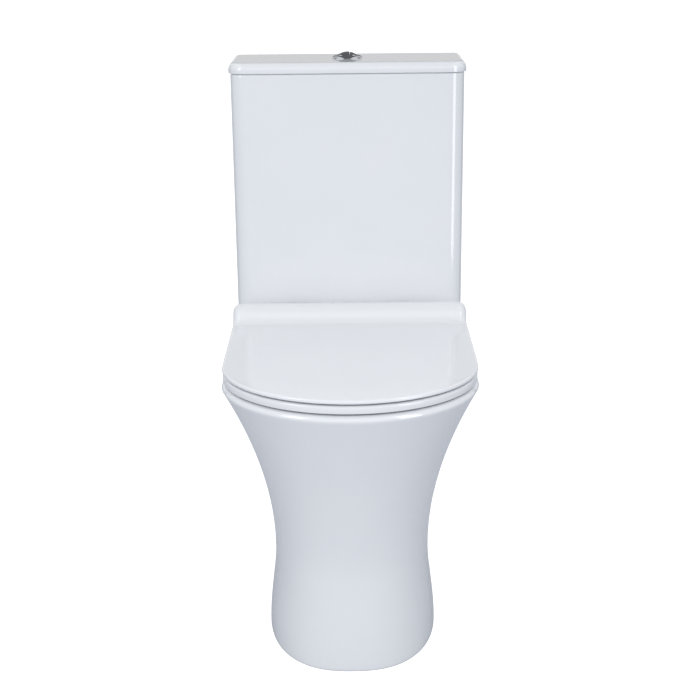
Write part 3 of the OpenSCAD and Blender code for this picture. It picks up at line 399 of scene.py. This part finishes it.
spots += [(s * bolt_x, mid_y, bolt_hole_r) for s in (-1, 1)]
spots += [(s * hinge_x, hinge_y, hinge_hole_r) for s in (-1, 1)]
holes = [bar((x, y, drill_z), down, 0, drill_long, r) for x, y, r in spots]
inlet_y, inlet_z, inlet_long, inlet_r = mouth_back - 18 * mm, rim_z - 56 * mm, 45 * mm, 28 * mm
holes += [bar((0, inlet_y, inlet_z), to_wall, 0, inlet_long, inlet_r)]
screw_x, screw_y, screw_z, screw_r, head_r = 95 * mm, 202 * mm, 38 * mm, 4.5 * mm, 9.5 * mm
neck, bored = 13.5 * mm, 25 * mm
screw = [(0, 0), (0, screw_r), (neck, screw_r), (neck, head_r), (bored, head_r), (bored, 0)]
holes += [turned((s * screw_x, screw_y, screw_z), (s, 0, 0), screw) for s in (-1, 1)]
told(cut(pan, holes))

# %% [markdown]
# ## The cistern
# The cistern is a plain china box with rounded upright corners and a slight draw towards its foot, so
# that it leaves its mould. Each level is an oblong with two corner radii. The grid climbs the inside
# from the floor, rounds the rim, comes down the outside and turns up into the recess that hides the
# bolts. The two floors are filled between outlines and drilled for the valves and bolts.

# %% Oblong outlines and the cistern
def oblong(z, half, y0, y1, r_front, r_back):
    """Level oblongs: straight runs joined by quarter circles of r_front in front and r_back behind."""
    given = (z, half, y0, y1, r_front, r_back)
    z, half, y0, y1, rf, rb = (np.broadcast_to(v, z.shape)[:, None] for v in given)
    a, t = np.linspace(0, np.pi / 2, 14), np.linspace(0, 1, 8)[:-1]
    x = np.concatenate([
        (half - rf) * t, half - rf + rf * np.sin(a), half + 0 * t[1:], half - rb + rb * np.cos(a),
        (half - rb) * (1 - t[1:]), 0 * half,
    ], 1)
    y = np.concatenate([
        y0 + 0 * t, y0 + rf - rf * np.cos(a), y0 + rf + (y1 - rb - y0 - rf) * t[1:],
        y1 - rb + rb * np.sin(a), y1 + 0 * t[1:], y1 + 0 * half,
    ], 1)
    x, y = np.concatenate([x, -x[:, -2:0:-1]], 1), np.concatenate([y, y[:, -2:0:-1]], 1)
    return np.stack([x, y, z + 0 * x], -1)


cistern_z, top_z, wall_y = cistern_low.z, cistern_high.z, cistern_high.y
taper, china_wall, foot_wall, front_r, back_r = 3 * mm, 9 * mm, 12 * mm, 24 * mm, 8 * mm
floor_z, floor_under, least_front, least_back = 440 * mm, 430 * mm, 3 * mm, 2 * mm
inside_steps, outside_steps = 28, 58


def cistern_rows(z, inset):
    """The cistern's outlines at heights z, drawn in by inset."""
    half = cistern_high.x - taper * (top_z - z) / (top_z - cistern_z) - inset
    return oblong(
        z, half, cistern_low.y + inset, wall_y - inset,
        np.maximum(least_front, front_r - inset), np.maximum(least_back, back_r - inset),
    )


fillet_in, fillet_up = bevel_arc(6 * mm, 7)
top_in, top_down = bevel_arc(2.5 * mm, 6)
base_in, base_up = bevel_arc(3 * mm, 6)
tank_z = np.concatenate([
    [floor_z, floor_z], floor_z + fillet_up[::-1], np.linspace(floor_z, top_z, inside_steps + 2)[1:-1],
    top_z - top_down, top_z - top_down[::-1], np.linspace(top_z, cistern_z, outside_steps + 2)[1:-1],
    cistern_z + base_up, [cistern_z, cistern_z + 2 * mm, floor_under, floor_under],
])
tank_in = np.concatenate([
    china_wall + np.array([8, 7]) * mm, china_wall + fillet_in[::-1], np.full(inside_steps, china_wall),
    china_wall - top_in, top_in[::-1], np.zeros(outside_steps),
    base_in, [foot_wall - 1 * mm, foot_wall, foot_wall, foot_wall + 1.5 * mm],
])
tank = cistern_rows(tank_z, tank_in)
cistern = build("cistern_glazed", [(tank, True)], [
    flat_fill([tank[0, :, :2]], level(floor_z)), flat_fill([tank[-1, :, :2]], level(floor_under)),
])
under_floor, fill_x, fill_hole_r, valve_hole_r = 420 * mm, -130 * mm, 11.98 * mm, 31.5 * mm
tank_spots = [(0, valve_hole_r), (fill_x, fill_hole_r), (-bolt_x, bolt_hole_r), (bolt_x, bolt_hole_r)]
tank_holes = [bar((x, mid_y, under_floor), upwards, 0, drill_long, r) for x, r in tank_spots]
fixing_x, fixing_y, fixing_z, fixing_long, fixing_r = 100 * mm, 290 * mm, 760 * mm, 25 * mm, 3.5 * mm
tank_holes += [
    bar((s * fixing_x, fixing_y, fixing_z), to_wall, 0, fixing_long, fixing_r) for s in (-1, 1)
]
told(cut(cistern, tank_holes))

# %% [markdown]
# ## The cistern's lid
# The lid is a shallow china tray, upside down: its edge is rounded by the glaze and its lip drops just
# inside the cistern. The same oblong outlines serve, with the radius of each row taken round the edge.

# %% The lid's grid
lid_low, lid_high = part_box("cistern_lid")
seat_z, slab_z = top_z + 0.5 * mm, lid_high.z
slab_under, fillet_low, lid_edge, collar_hole_r = slab_z - 11 * mm, slab_z - 14 * mm, 10.5 * mm, 20 * mm
round_in, round_down = bevel_arc(lid_edge, 14)
chip_in, chip_up = bevel_arc(1.2 * mm, 4)
cover_z = np.concatenate([
    [slab_z, slab_z, slab_z], slab_z - round_down[::-1], [slab_under], seat_z + chip_up,
    [seat_z, seat_z, lid_low.z + 1 * mm, lid_low.z, lid_low.z, lid_low.z + 1 * mm],
    [fillet_low, slab_under, slab_under],
])
cover_in = np.concatenate([
    lid_edge + np.array([12, 5, 1]) * mm, round_in[::-1], [0], chip_in,
    np.array([8, 14, 14, 15, 19, 20]) * mm, np.array([20, 23, 25]) * mm,
])
n_top = 3 + len(round_in)
ledge, lip_from, lip_shift = 8 * mm, 13 * mm, 11 * mm
lip_in_back = np.minimum(cover_in, ledge) + np.where(cover_in > lip_from, cover_in - lip_shift, 0)
near_wall = np.where(np.arange(len(cover_in)) < n_top, cover_in, lip_in_back)
cover_r, least_cover_front, least_cover_back = 27 * mm, 4 * mm, 3 * mm
cover = oblong(
    cover_z, lid_high.x - cover_in, lid_low.y + cover_in, wall_y - near_wall,
    np.maximum(least_cover_front, cover_r - cover_in), np.maximum(least_cover_back, back_r - near_wall),
)
cistern_cover = build("cistern_cover", [(cover, True)], [
    flat_fill([cover[0, :, :2]], level(slab_z)), flat_fill([cover[-1, :, :2]], level(slab_under)),
])
told(cut(cistern_cover, [bar((0, mid_y, slab_z + 5 * mm), down, 0, 40 * mm, collar_hole_r)]))

# %% [markdown]
# ## The seat ring
# The ring is moulded in urea, a hard glossy plastic. Its outer edge follows the pan and its hole is a
# rounded oblong. A ray from the ring's middle meets both outlines once, so the angle runs along the
# columns, and the rows go round the section: up the outer edge, over the top and down into the hole.

# %% Outlines met by rays, and the ring
ring_low, ring_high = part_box("seat_ring")
ring_z, ring_top, ring_back = ring_low.z, ring_low.z + 11 * mm, hinge_y - 24 * mm
half_lid, nose_gap = 182 * mm, 1 * mm
nose_y = front + nose_gap + half_lid
rays = np.linspace(-np.pi, np.pi, 400, endpoint=False)
hub = np.array([0, -75 * mm])


def arc(x, y, r, a0, a1, n=60):
    """n points of an arc from angle a0 to a1, in degrees."""
    a = np.radians(np.linspace(a0, a1, n))
    return np.column_stack([x + r * np.cos(a), y + r * np.sin(a)])


def met(outline):
    """Where rays from the hub meet an outline: its distances are read off against the angle."""
    steps = [np.linspace(p, q, 40, endpoint=False) for p, q in zip(outline, np.roll(outline, -1, 0))]
    from_hub = np.concatenate(steps) - hub
    angle, far = np.arctan2(from_hub[:, 1], from_hub[:, 0]), np.hypot(*from_hub.T)
    r = np.interp(rays, angle[np.argsort(angle)], far[np.argsort(angle)], period=2 * np.pi)
    return hub + r[:, None] * np.column_stack([np.cos(rays), np.sin(rays)])


half_seat = ring_high.x
corner = 10 * mm
outer = met(np.concatenate([
    arc(0, nose_y, half_seat, 180, 360), arc(half_seat - corner, ring_back - corner, corner, 0, 90, 12),
    arc(corner - half_seat, ring_back - corner, corner, 90, 180, 12),
]))
hole_half, hole_front, hole_back, hole_r = 113 * mm, front + 62 * mm, 38 * mm, 60 * mm
hole = met(np.concatenate([
    arc(0, hole_front + hole_half, hole_half, 180, 360),
    arc(hole_half - hole_r, hole_back - hole_r, hole_r, 0, 90, 30),
    arc(hole_r - hole_half, hole_back - hole_r, hole_r, 90, 180, 30),
]))
inwards = (hole - outer) / np.hypot(*(hole - outer).T)[:, None]
out_in, out_down = bevel_arc(4 * mm, 8)
hole_in, hole_down = bevel_arc(6.5 * mm, 9)
chip, flat_shares = [(1.2, 0), (0.3, 0.4), (0, 1.2)], (0.2, 0.4, 0.6, 0.75)
section = [(outer, d * mm, ring_z + h * mm) for d, h in chip]
section += [(outer, d, ring_top - h) for d, h in zip(out_in, out_down)]
section += [(outer * (1 - t) + hole * t, 0, ring_top) for t in flat_shares]
section += [(hole, -d, ring_top - h) for d, h in zip(hole_in[::-1], hole_down[::-1])]
section += [(hole, 0, ring_z + 1.2 * mm), (hole, -1.2 * mm, ring_z), (outer, 1.2 * mm, ring_z)]
ring_grid = np.array([np.column_stack([o + d * inwards, np.full(len(rays), z)]) for o, d, z in section])
print("the ring is a grid of", ring_grid.shape[:2])

# %% Two lugs under the ring, and its mesh
lug_r, hinge_z, lug_in, lug_out, pin_hole_r = 15 * mm, 430.5 * mm, 97 * mm, 123 * mm, 8 * mm
lug_side = np.concatenate([
    np.array([(-34, -24.5), (-34, -13.5), (-24, -13.5)]) * mm, arc(0, 0, lug_r, 230, -110, 60),
    np.array([(-18, -24.5)]) * mm,
]) + [hinge_y, hinge_z]
pin_hole = circle(hinge_y, hinge_z, pin_hole_r, 40)


def lug(x0, x1, sides, bore):
    """A plate with a bore between x0 and x1: the two outlines carried across, and both faces filled."""
    def at(x):
        return lambda p: np.column_stack([np.full(len(p), x), p])

    walls = [(np.array([at(x0)(loop), at(x1)(loop)]), True) for loop in (sides, bore)]
    return walls, [flat_fill([sides, bore], at(x)) for x in (x0, x1)]


walls_r, faces_r = lug(lug_in, lug_out, lug_side, pin_hole)
walls_l, faces_l = lug(-lug_out, -lug_in, lug_side, pin_hole)
seat_ring = build("ring_moulded", [(ring_grid, True)] + walls_r + walls_l, faces_r + faces_l)
told(seat_ring)

# %% [markdown]
# ## The seat's lid
# The lid is the piece that the eye meets first. Its plate is almost flat, with a soft crown towards its
# edge, and at the back it sweeps up over the hinges as a barrel. Every column of the grid is a line
# that starts behind the hinge, goes over the barrel, down a hollow fillet, forward along the side,
# round the nose and back again. Moving from the edge to the middle gives the rows.

# %% The lid's profile and grid
lid_plate_z, lid_face_z = ring_top + 3 * mm, ring_top + 10 * mm
barrel_r, barrel_end, fillet_r, rear_drop = 22 * mm, 13 * mm, 15 * mm, 2 * mm
shell_r, solid_rows, crowding = barrel_r - 3 * mm, 14, 0.8
edge_r, under_r, crown, crown_w = 3.2 * mm, 1 * mm, 1.5 * mm, 52 * mm
inset_mm = [0, 0.08, 0.3, 0.65, 1, 1.5, 2.1, 3.2, 4.5, 6.5, 9, 11.5, 13, 14, 14]
inset_mm += [17, 21, 26, 32, 38, 45, 52, 62, 75, 90, 110, 130, 155, 182]
inset = np.array(inset_mm)[:, None] * mm
ends = np.arange(len(inset)) < solid_rows
n_side, n_fillet, n_arc, n_tail, n_nose = 34, 14, 34, 7, 121


def quarter(r, d):
    """How far a rounded edge of radius r has dropped at distance d from the side."""
    d = np.minimum(d, r)
    return r - np.sqrt(r**2 - (r - d) ** 2)


face = lid_face_z - quarter(edge_r, inset) - crown * np.clip(1 - inset / crown_w, 0, 1) ** 2
barrel = barrel_r - quarter(barrel_end, inset)
fillet_z = face + fillet_r
fillet_y = hinge_y - np.sqrt((barrel + fillet_r) ** 2 - (fillet_z - hinge_z) ** 2)
lean = np.arctan2(hinge_z - fillet_z, hinge_y - fillet_y)
spread = np.linspace(0, 1, n_side) ** crowding
side_y = nose_y + (fillet_y - nose_y) * spread
sweep = -np.pi / 2 + (lean + np.pi / 2) * np.linspace(0, 1, n_fillet)[1:]
rear = -np.arcsin(rear_drop / barrel)
over = lean + np.pi + (rear - lean - np.pi) * np.linspace(0, 1, n_arc)[1:]
flat_z = lid_plate_z + quarter(under_r, inset)
stop = np.where(ends[:, None], -np.arcsin(np.minimum(1, (hinge_z - flat_z) / barrel)), rear)
tail = rear + (stop - rear) * np.linspace(0, 1, n_tail)[1:]
bend = np.concatenate([over, tail], 1)
top_y = np.concatenate([
    side_y, fillet_y + fillet_r * np.cos(sweep), hinge_y + barrel * np.cos(bend),
], 1)
top_line = np.concatenate([
    face + 0 * side_y, fillet_z + fillet_r * np.sin(sweep), hinge_z + barrel * np.sin(bend),
], 1)
print("the lid's upper side is a grid with", len(top_y), "rows on each side")

# %% The underside, the mesh and the notches for the hinges
n_rest = top_y.shape[1] - n_side
start = hinge_y - np.sqrt(shell_r**2 - (hinge_z - lid_plate_z) ** 2)
shell_from = np.pi + np.arcsin((hinge_z - lid_plate_z) / shell_r)
shell = np.linspace(shell_from, -np.arcsin(rear_drop / shell_r), n_rest)
solid_y = start + (top_y[:, -1:] - start) * np.linspace(0, 1, n_rest)
below_y = np.where(ends[:, None], solid_y, hinge_y + shell_r * np.cos(shell))
below_line = np.where(ends[:, None], flat_z + 0 * solid_y, hinge_z + shell_r * np.sin(shell))
under_y = np.concatenate([side_y, below_y], 1)
under_line = np.concatenate([flat_z + 0 * side_y, below_line], 1)


def lid_rows(y, z):
    """Full lines from the left rear, round the nose, to the right rear, from one side's (y, z)."""
    r = half_lid - inset
    a = np.linspace(np.pi, 2 * np.pi, n_nose)[1:-1]
    nose = np.stack([r * np.cos(a), nose_y + r * np.sin(a), z[:, :1] + 0 * a], -1)
    side = np.stack([r + 0 * y, y, z], -1)
    return np.concatenate([side[:, ::-1] * [-1, 1, 1], nose, side], 1)


upper, lower = lid_rows(top_y, top_line), lid_rows(under_y, under_line)
rear_edge = np.array([np.concatenate([rows[:, 0], rows[::-1, -1]]) for rows in (upper, lower)])
lid_grid = np.concatenate([lower[::-1], upper])
eye_in, eye_out, eye_bore, eye_r = 44 * mm, 58 * mm, 8 * mm, 19.3 * mm
eye = [(eye_in, eye_bore), (eye_in, eye_r), (eye_out, eye_r), (eye_out, eye_bore), (eye_in, eye_bore)]
eyes = [turned((0, hinge_y, hinge_z), (s, 0, 0), eye) for s in (-1, 1)]
seat_lid = build("lid_moulded", [(lid_grid, False), (rear_edge, False)])
notch_half, notch_front, notch_back = 18 * mm, hinge_y - 17 * mm, 160 * mm
notch_low, notch_high = 400 * mm, 443.5 * mm
notch = [
    block((x - notch_half, notch_front, notch_low), (x + notch_half, notch_back, notch_high))
    for x in (-hinge_x, hinge_x)
]
told(seat_lid)
told(cut(seat_lid, notch, 30))
lid_eyes = told(build("lid_eyes", eyes))

# %% [markdown]
# ## The button and its springs
# The flush button is a chromed dome split in two: the large part gives a full flush and the small part a
# half flush. Rays from a point inside each part meet either the round edge or the split, so one grid
# covers any part of a disc. Under each part a coil of wire pushes it back up.

# %% Two parts of a domed disc, and the springs
button_r, split_x, split_gap, skirt, rounding = 16.5 * mm, 4 * mm, 0.3 * mm, 9 * mm, 0.8 * mm
button_edge_z, dome_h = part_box("full_flush_button")[0].z + skirt, 6 * mm
along_split, ray_shares = 1e-6, (0.85, 0.6, 0.35, 0.15, 0)


def button(name, middle_x, side):
    """Height edge + dome (1 - (distance / r)^2), less the edge's rounding, over rays from (middle_x, 0)."""
    a = np.linspace(0, 2 * np.pi, 120, endpoint=False)
    u = np.column_stack([np.cos(a), np.sin(a)])
    along = middle_x * u[:, 0]
    to_disc = -along + np.sqrt(along**2 + button_r**2 - middle_x**2)
    gap = split_x + side * split_gap - middle_x
    to_split = np.where(u[:, 0] * gap > along_split, gap / np.where(u[:, 0] == 0, 1, u[:, 0]), 1)
    far = np.minimum(to_disc, to_split)
    edge = np.linspace(0, rounding, 6)
    spokes = [0 * far, far, *(far - d for d in edge), *(f * (far - rounding) for f in ray_shares)]
    t = np.array(spokes)[..., None]
    flat = np.array([middle_x, 0]) + t * u
    drop = np.concatenate([[0, 0], quarter(rounding, edge), np.zeros(len(ray_shares))])[:, None]
    z = button_edge_z + dome_h * (1 - (flat**2).sum(-1) / button_r**2) - drop
    z[:2] = button_edge_z - skirt
    return build(name, [(np.concatenate([flat + [0, mid_y], z[..., None]], -1), True)], sharp=30)


def spring(name, node):
    """A wire of radius w wound at radius r: four turns that climb evenly, closed at both ends."""
    low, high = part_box(node)
    w, turns = 0.45 * mm, 4
    r = (high.x - low.x) / 2 - w
    a = np.linspace(0, 2 * np.pi * turns, 48 * turns + 1)[:, None]
    b = np.linspace(0, 2 * np.pi, 12, endpoint=False)[None, :]
    climb = low.z + w + (high.z - low.z - 2 * w) * a / a[-1]
    a, climb = np.concatenate([a[:1], a, a[-1:]]), np.concatenate([climb[:1], climb, climb[-1:]])
    thick = np.where((np.arange(len(a)) % (len(a) - 1) == 0)[:, None], 0, w)
    reach = r + thick * np.cos(b)
    x, y = (low.x + high.x) / 2 + reach * np.cos(a), mid_y + reach * np.sin(a)
    z = climb + thick * np.sin(b)
    return build(name, [(np.stack([x, y, z], -1), True)])


full_button, half_button = button("button_full", -3 * mm, -1), button("button_half", 9.5 * mm, 1)
full_spring = spring("spring_full", "full_flush_spring")
half_spring = spring("spring_half", "half_flush_spring")
for piece in (full_button, half_button, full_spring, half_spring):
    told(piece)

# %% [markdown]
# ## Which piece moves with what
# Every new piece rides on the body that its frame part belongs to, hides the parts that it stands for and
# keeps the name of its finish.
# A spring can't follow its button as a rigid piece, so it rides on the cistern's lid and gets a mesh of its
# own.

# %% Rides and replacements
for piece, body, slot_name, nodes in (
    (pan, "pan_and_cistern", "china", ("pan", "pan_bowl")),
    (cistern, "pan_and_cistern", "china", ("cistern",)),
    (cistern_cover, "top_lid", "china", ("cistern_lid",)),
    (seat_ring, "ring", "seat_plastic", ("seat_ring",)),
    (seat_lid, "lid", "seat_plastic", ("seat_lid",)),
    (lid_eyes, "lid", "seat_plastic", ("seat_lid",)),
    (full_button, "full_button", "chrome", ("full_flush_button",)),
    (half_button, "half_button", "chrome", ("half_flush_button",)),
    (full_spring, "top_lid", "steel", ("full_flush_spring",)),
    (half_spring, "top_lid", "steel", ("half_flush_spring",)),
):
    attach(piece, body)
    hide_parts(*nodes)
    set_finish(piece, slot_name)
for piece, joint, node in (
    (full_spring, "full_button_press", "full_flush_spring"),
    (half_spring, "half_button_press", "half_flush_spring"),
):
    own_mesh(piece)

# %% [markdown]
# ## Finishes
# A finish is a small graph of shader nodes. Writing the graph as sums on wrapped sockets keeps it
# readable: noise * 0.02 + 0.1 adds the Math nodes by itself. All patterns read Object coordinates, which
# here are metres, so a scale of 40 means waves 25 mm long.

# %% A wire that does sums
class Wire:
    """A value in a shader. Sums on it add Math nodes, and node() adds any other kind."""

    def __init__(self, tree, socket=None):
        self.tree, self.socket = tree, socket

    def node(self, kind, settings, inputs, output=0):
        """Adds a node: its settings first, then the values or links of its sockets."""
        made = self.tree.nodes.new("ShaderNode" + kind)
        for key, value in settings.items():
            setattr(made, key, value)
        for key, value in inputs.items():
            if isinstance(value, Wire):
                self.tree.links.new(value.socket, made.inputs[key])
            else:
                made.inputs[key].default_value = value
        return Wire(self.tree, made.outputs[output])

    def math(self, operation, a, b):
        return self.node("Math", {"operation": operation}, {0: a, 1: b})

    def __add__(self, other):
        return self.math("ADD", self, other)

    def __mul__(self, other):
        return self.math("MULTIPLY", self, other)

    def __pow__(self, other):
        return self.math("POWER", self, other)

    __radd__, __rmul__ = __add__, __mul__

    def noise(self, scale, detail=2.0, rough=0.5, stretch=(1, 1, 1)):
        """Smooth noise from 0 to 1, with scale waves to the metre, stretched along the axes."""
        place = self.node("TexCoord", {}, {}, "Object")
        place = self.node("Mapping", {}, {"Vector": place, "Scale": stretch})
        inputs = {"Vector": place, "Scale": scale, "Detail": detail, "Roughness": rough}
        return self.node("TexNoise", {}, inputs, "Fac")

    def mix(self, factor, a, b):
        """Colour a where factor is 0 and b where it is 1."""
        a, b = (*a, 1), (*b, 1)
        return self.node("Mix", {"data_type": "RGBA"}, {0: factor, 6: a, 7: b}, 2)

    def bump(self, height, depth, strength=1.0):
        """A normal that follows height, whose full range stands for depth metres."""
        inputs = {"Height": height, "Distance": depth, "Strength": strength}
        return self.node("Bump", {}, inputs)


def finish(name, recipe, **constants):
    """A material: recipe turns a wire into the sockets that vary, and the constants are set as they are."""
    material = bpy.data.materials.new(name)
    material.use_nodes = True
    tree = material.node_tree
    shader = tree.nodes["Principled BSDF"]
    for key, value in constants.items():
        shader.inputs[key.replace("_", " ").title().replace("Ior", "IOR")].default_value = value
    for key, value in recipe(Wire(tree)).items():
        tree.links.new(value.socket, shader.inputs[key])
    return material

# %% [markdown]
# ## Glaze, plastic, metal and rubber
# Glaze is white china under a thick layer of glass. The glass pools a little, which shows as a faint
# waviness in reflections and as a barely cooler white where it lies thicker. The seat is moulded in a
# hard plastic that is polished flatter than glaze. Metals differ in how they were made: plated and
# buffed, or plated and left dull. Rubber and foam are matt, the foam with its cells.

# %% The recipes
def glaze_recipe(w):
    pool, ripple = w.noise(9), w.noise(38, 1.0)
    return {
        "Base Color": w.mix(pool, (0.735, 0.752, 0.775), (0.70, 0.725, 0.76)),
        "Roughness": pool * 0.05 + 0.09,
        "Coat Weight": pool * 0.2 + 0.5,
        "Normal": w.bump(ripple, 0.35 * mm, 0.35),
    }


def seat_recipe(w):
    flow, ripple = w.noise(7), w.noise(20, 0.0)
    return {
        "Base Color": w.mix(flow, (0.735, 0.75, 0.775), (0.72, 0.738, 0.768)),
        "Roughness": flow * 0.04 + 0.1,
        "Normal": w.bump(ripple, 0.15 * mm, 0.25),
    }


def chrome_recipe(w):
    smudge = w.noise(120, 3.0)
    return {
        "Base Color": w.mix(smudge, (0.62, 0.63, 0.65), (0.55, 0.56, 0.585)),
        "Roughness": smudge**2 * 0.16 + 0.04,
    }


def zinc_recipe(w):
    spangle, drawn = w.noise(260, 4.0), w.noise(500, 2.0, stretch=(1, 1, 0.08))
    return {
        "Base Color": w.mix(spangle, (0.60, 0.61, 0.63), (0.46, 0.47, 0.50)),
        "Roughness": spangle * 0.25 + 0.25,
        "Normal": w.bump(drawn, 0.03 * mm, 0.4),
    }


def rubber_recipe(w):
    bloom, grain = w.noise(60), w.noise(1600, 2.0)
    return {
        "Base Color": w.mix(bloom, (0.020, 0.020, 0.021), (0.042, 0.041, 0.040)),
        "Roughness": bloom * 0.2 + 0.5,
        "Normal": w.bump(grain, 0.06 * mm, 0.5),
    }


def foam_recipe(w):
    place = w.node("TexCoord", {}, {}, "Object")
    cells = w.node("TexVoronoi", {}, {"Vector": place, "Scale": 700.0}, "Distance")
    return {
        "Base Color": w.mix(cells, (0.030, 0.030, 0.032), (0.07, 0.07, 0.074)),
        "Roughness": cells * 0.2 + 0.75,
        "Normal": w.bump(cells, 0.4 * mm, 0.8),
    }


def moulded_recipe(light, dark):
    """A satin moulded plastic between two colours, with the fine texture that spark erosion leaves."""

    def recipe(w):
        flow, grain = w.noise(30), w.noise(2200, 2.0)
        return {
            "Base Color": w.mix(flow, light, dark),
            "Roughness": grain * 0.12 + 0.3,
            "Normal": w.bump(grain, 0.02 * mm, 0.5),
        }

    return recipe


finishes = {
    "china": finish("glaze", glaze_recipe, coat_roughness=0.03, ior=1.5),
    "seat_plastic": finish("seat_gloss", seat_recipe, ior=1.5),
    "chrome": finish("chromed", chrome_recipe, metallic=1.0),
    "steel": finish("zinc_plated", zinc_recipe, metallic=1.0),
    "rubber": finish("black_rubber", rubber_recipe),
    "foam_rubber": finish("cell_foam", foam_recipe),
    "white_plastic": finish("satin_white", moulded_recipe((0.76, 0.76, 0.74), (0.71, 0.71, 0.685))),
    "blue_plastic": finish("satin_blue", moulded_recipe((0.012, 0.085, 0.33), (0.01, 0.07, 0.28))),
}

# %% Every piece gets its finish
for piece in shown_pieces():
    if piece.material_slots:
        for place in piece.material_slots:
            slot_name = place.material.name.split(".")[0]
            place.material = finishes[slot_name]
    else:
        piece.data.materials.append(finishes[piece["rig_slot"]])

# %% [markdown]
# ## Floor, light and camera
# White china is lit by what surrounds it. The floor is made twice: the one that is seen glows evenly, and
# a slightly blue one just under it, which the camera doesn't see, lights the china from below. A soft box
# in front gives the main light. Grey boards and two bright strips stand where only reflections show them,
# and they draw the darker and lighter lines along the sides that separate white from white.

# %% The two floors
def plain(name, colour, glow):
    """A matt colour that also gives off glow of its own light."""
    return finish(
        name, lambda w: {}, base_color=(*colour, 1), roughness=1.0, specular_ior_level=0.0,
        emission_color=(1, 1, 1, 1), emission_strength=glow,
    )


def board(name, corners, paint):
    """A flat four-sided board."""
    mesh = bpy.data.meshes.new(name)
    mesh.from_pydata(corners, [], [(0, 1, 2, 3)])
    mesh.materials.append(paint)
    made = bpy.data.objects.new(name, mesh)
    bpy.context.scene.collection.objects.link(made)
    return made


def floor(name, z, colour, glow):
    """A square floor 60 m wide at height z."""
    half = 30.0
    corners = [(-half, -half, z), (half, -half, z), (half, half, z), (-half, half, z)]
    return board(name, corners, plain(name + "_paint", colour, glow))


seen_floor = floor("floor_seen", 0, (0.3, 0.3, 0.3), 1.0)
seen_floor.visible_diffuse = seen_floor.visible_glossy = False
lit_floor = floor("floor_lit", -1 * mm, (0.58, 0.60, 0.655), 0.0)
lit_floor.visible_camera = False
print("the floors are", seen_floor.name, "and", lit_floor.name)

# %% The boards that only reflections show
def screen(name, start, end, low, high, paint):
    """An upright board from start to end, each (x, y), between two heights."""
    return board(name, [(*start, low), (*end, low), (*end, high), (*start, high)], paint)


grey = plain("grey_board", (0.07, 0.07, 0.075), 0.12)
haze = plain("haze_grey", (0, 0, 0), 0.6)
strip = plain("strip_glow", (0, 0, 0), 4.0)
half_wide, front_y, back_y, roof_z = 0.7, -1.5, 1.6, 2.4
roof = [(-half_wide, front_y), (half_wide, front_y), (half_wide, back_y), (-half_wide, back_y)]
boards = [
    screen("flag_1", (-0.6, 0.35), (-1.3, 1.4), 0.02, 1.5, grey),
    screen("flag_3", (0.6, 0.35), (1.3, 1.4), 0.02, 1.5, grey),
    screen("flag_back", (-half_wide, back_y), (half_wide, back_y), 1.08, roof_z, grey),
    board("flag_above", [(x, y, roof_z) for x, y in roof], grey),
    screen("haze_back", (-1.3, 1.7), (1.3, 1.7), 0.86, 1.2, haze),
    screen("strip_1", (-1.2, -1.5), (-1.6, -1.0), 0.75, 2.2, strip),
    screen("strip_3", (1.2, -1.5), (1.6, -1.0), 0.1, 2.2, strip),
]
for made in boards:
    made.visible_camera = made.visible_diffuse = False
print(len(boards), "boards stand in the reflections")

# %% The sky and the soft box
world = bpy.data.worlds.new("sky")
world.use_nodes = True
sky = world.node_tree.nodes["Background"]
sky.inputs["Color"].default_value = (0.965, 0.98, 1.0, 1)
sky.inputs["Strength"].default_value = 0.93
bpy.context.scene.world = world


def softbox(name, place, aim, width, height, power):
    """A rectangular area light at place that faces aim."""
    lamp = bpy.data.lights.new(name, "AREA")
    lamp.shape, lamp.size, lamp.size_y, lamp.energy = "RECTANGLE", width, height, power
    made = bpy.data.objects.new(name, lamp)
    made.location = place
    made.rotation_euler = (Vector(aim) - Vector(place)).to_track_quat("-Z", "Y").to_euler()
    bpy.context.scene.collection.objects.link(made)
    return made


key = softbox("key", (-0.2, -3.0, 1.7), (0, 0, 0.3), 1.6, 0.9, 38)
key.data.color = (1.0, 0.985, 0.96)
key.visible_glossy = False
print("the soft box gives", key.data.energy, "W")

# %% The camera
lens = bpy.data.cameras.new("lens")
lens.lens, lens.sensor_width = 84, 36
camera = bpy.data.objects.new("camera", lens)
tilt, roll = np.radians(74.53), np.radians(-0.55)
stand = Vector((0, -2.3591, 1.0628))
turn_x, turn_z = Matrix.Rotation(tilt, 4, "X"), Matrix.Rotation(roll, 4, "Z")
camera.matrix_world = Matrix.Translation(stand) @ turn_x @ turn_z
bpy.context.scene.collection.objects.link(camera)
bpy.context.scene.camera = camera
bpy.context.scene.view_settings.view_transform = "Standard"
print("the camera stands", round(stand.length, 2), "m away, with a lens of", lens.lens, "mm")
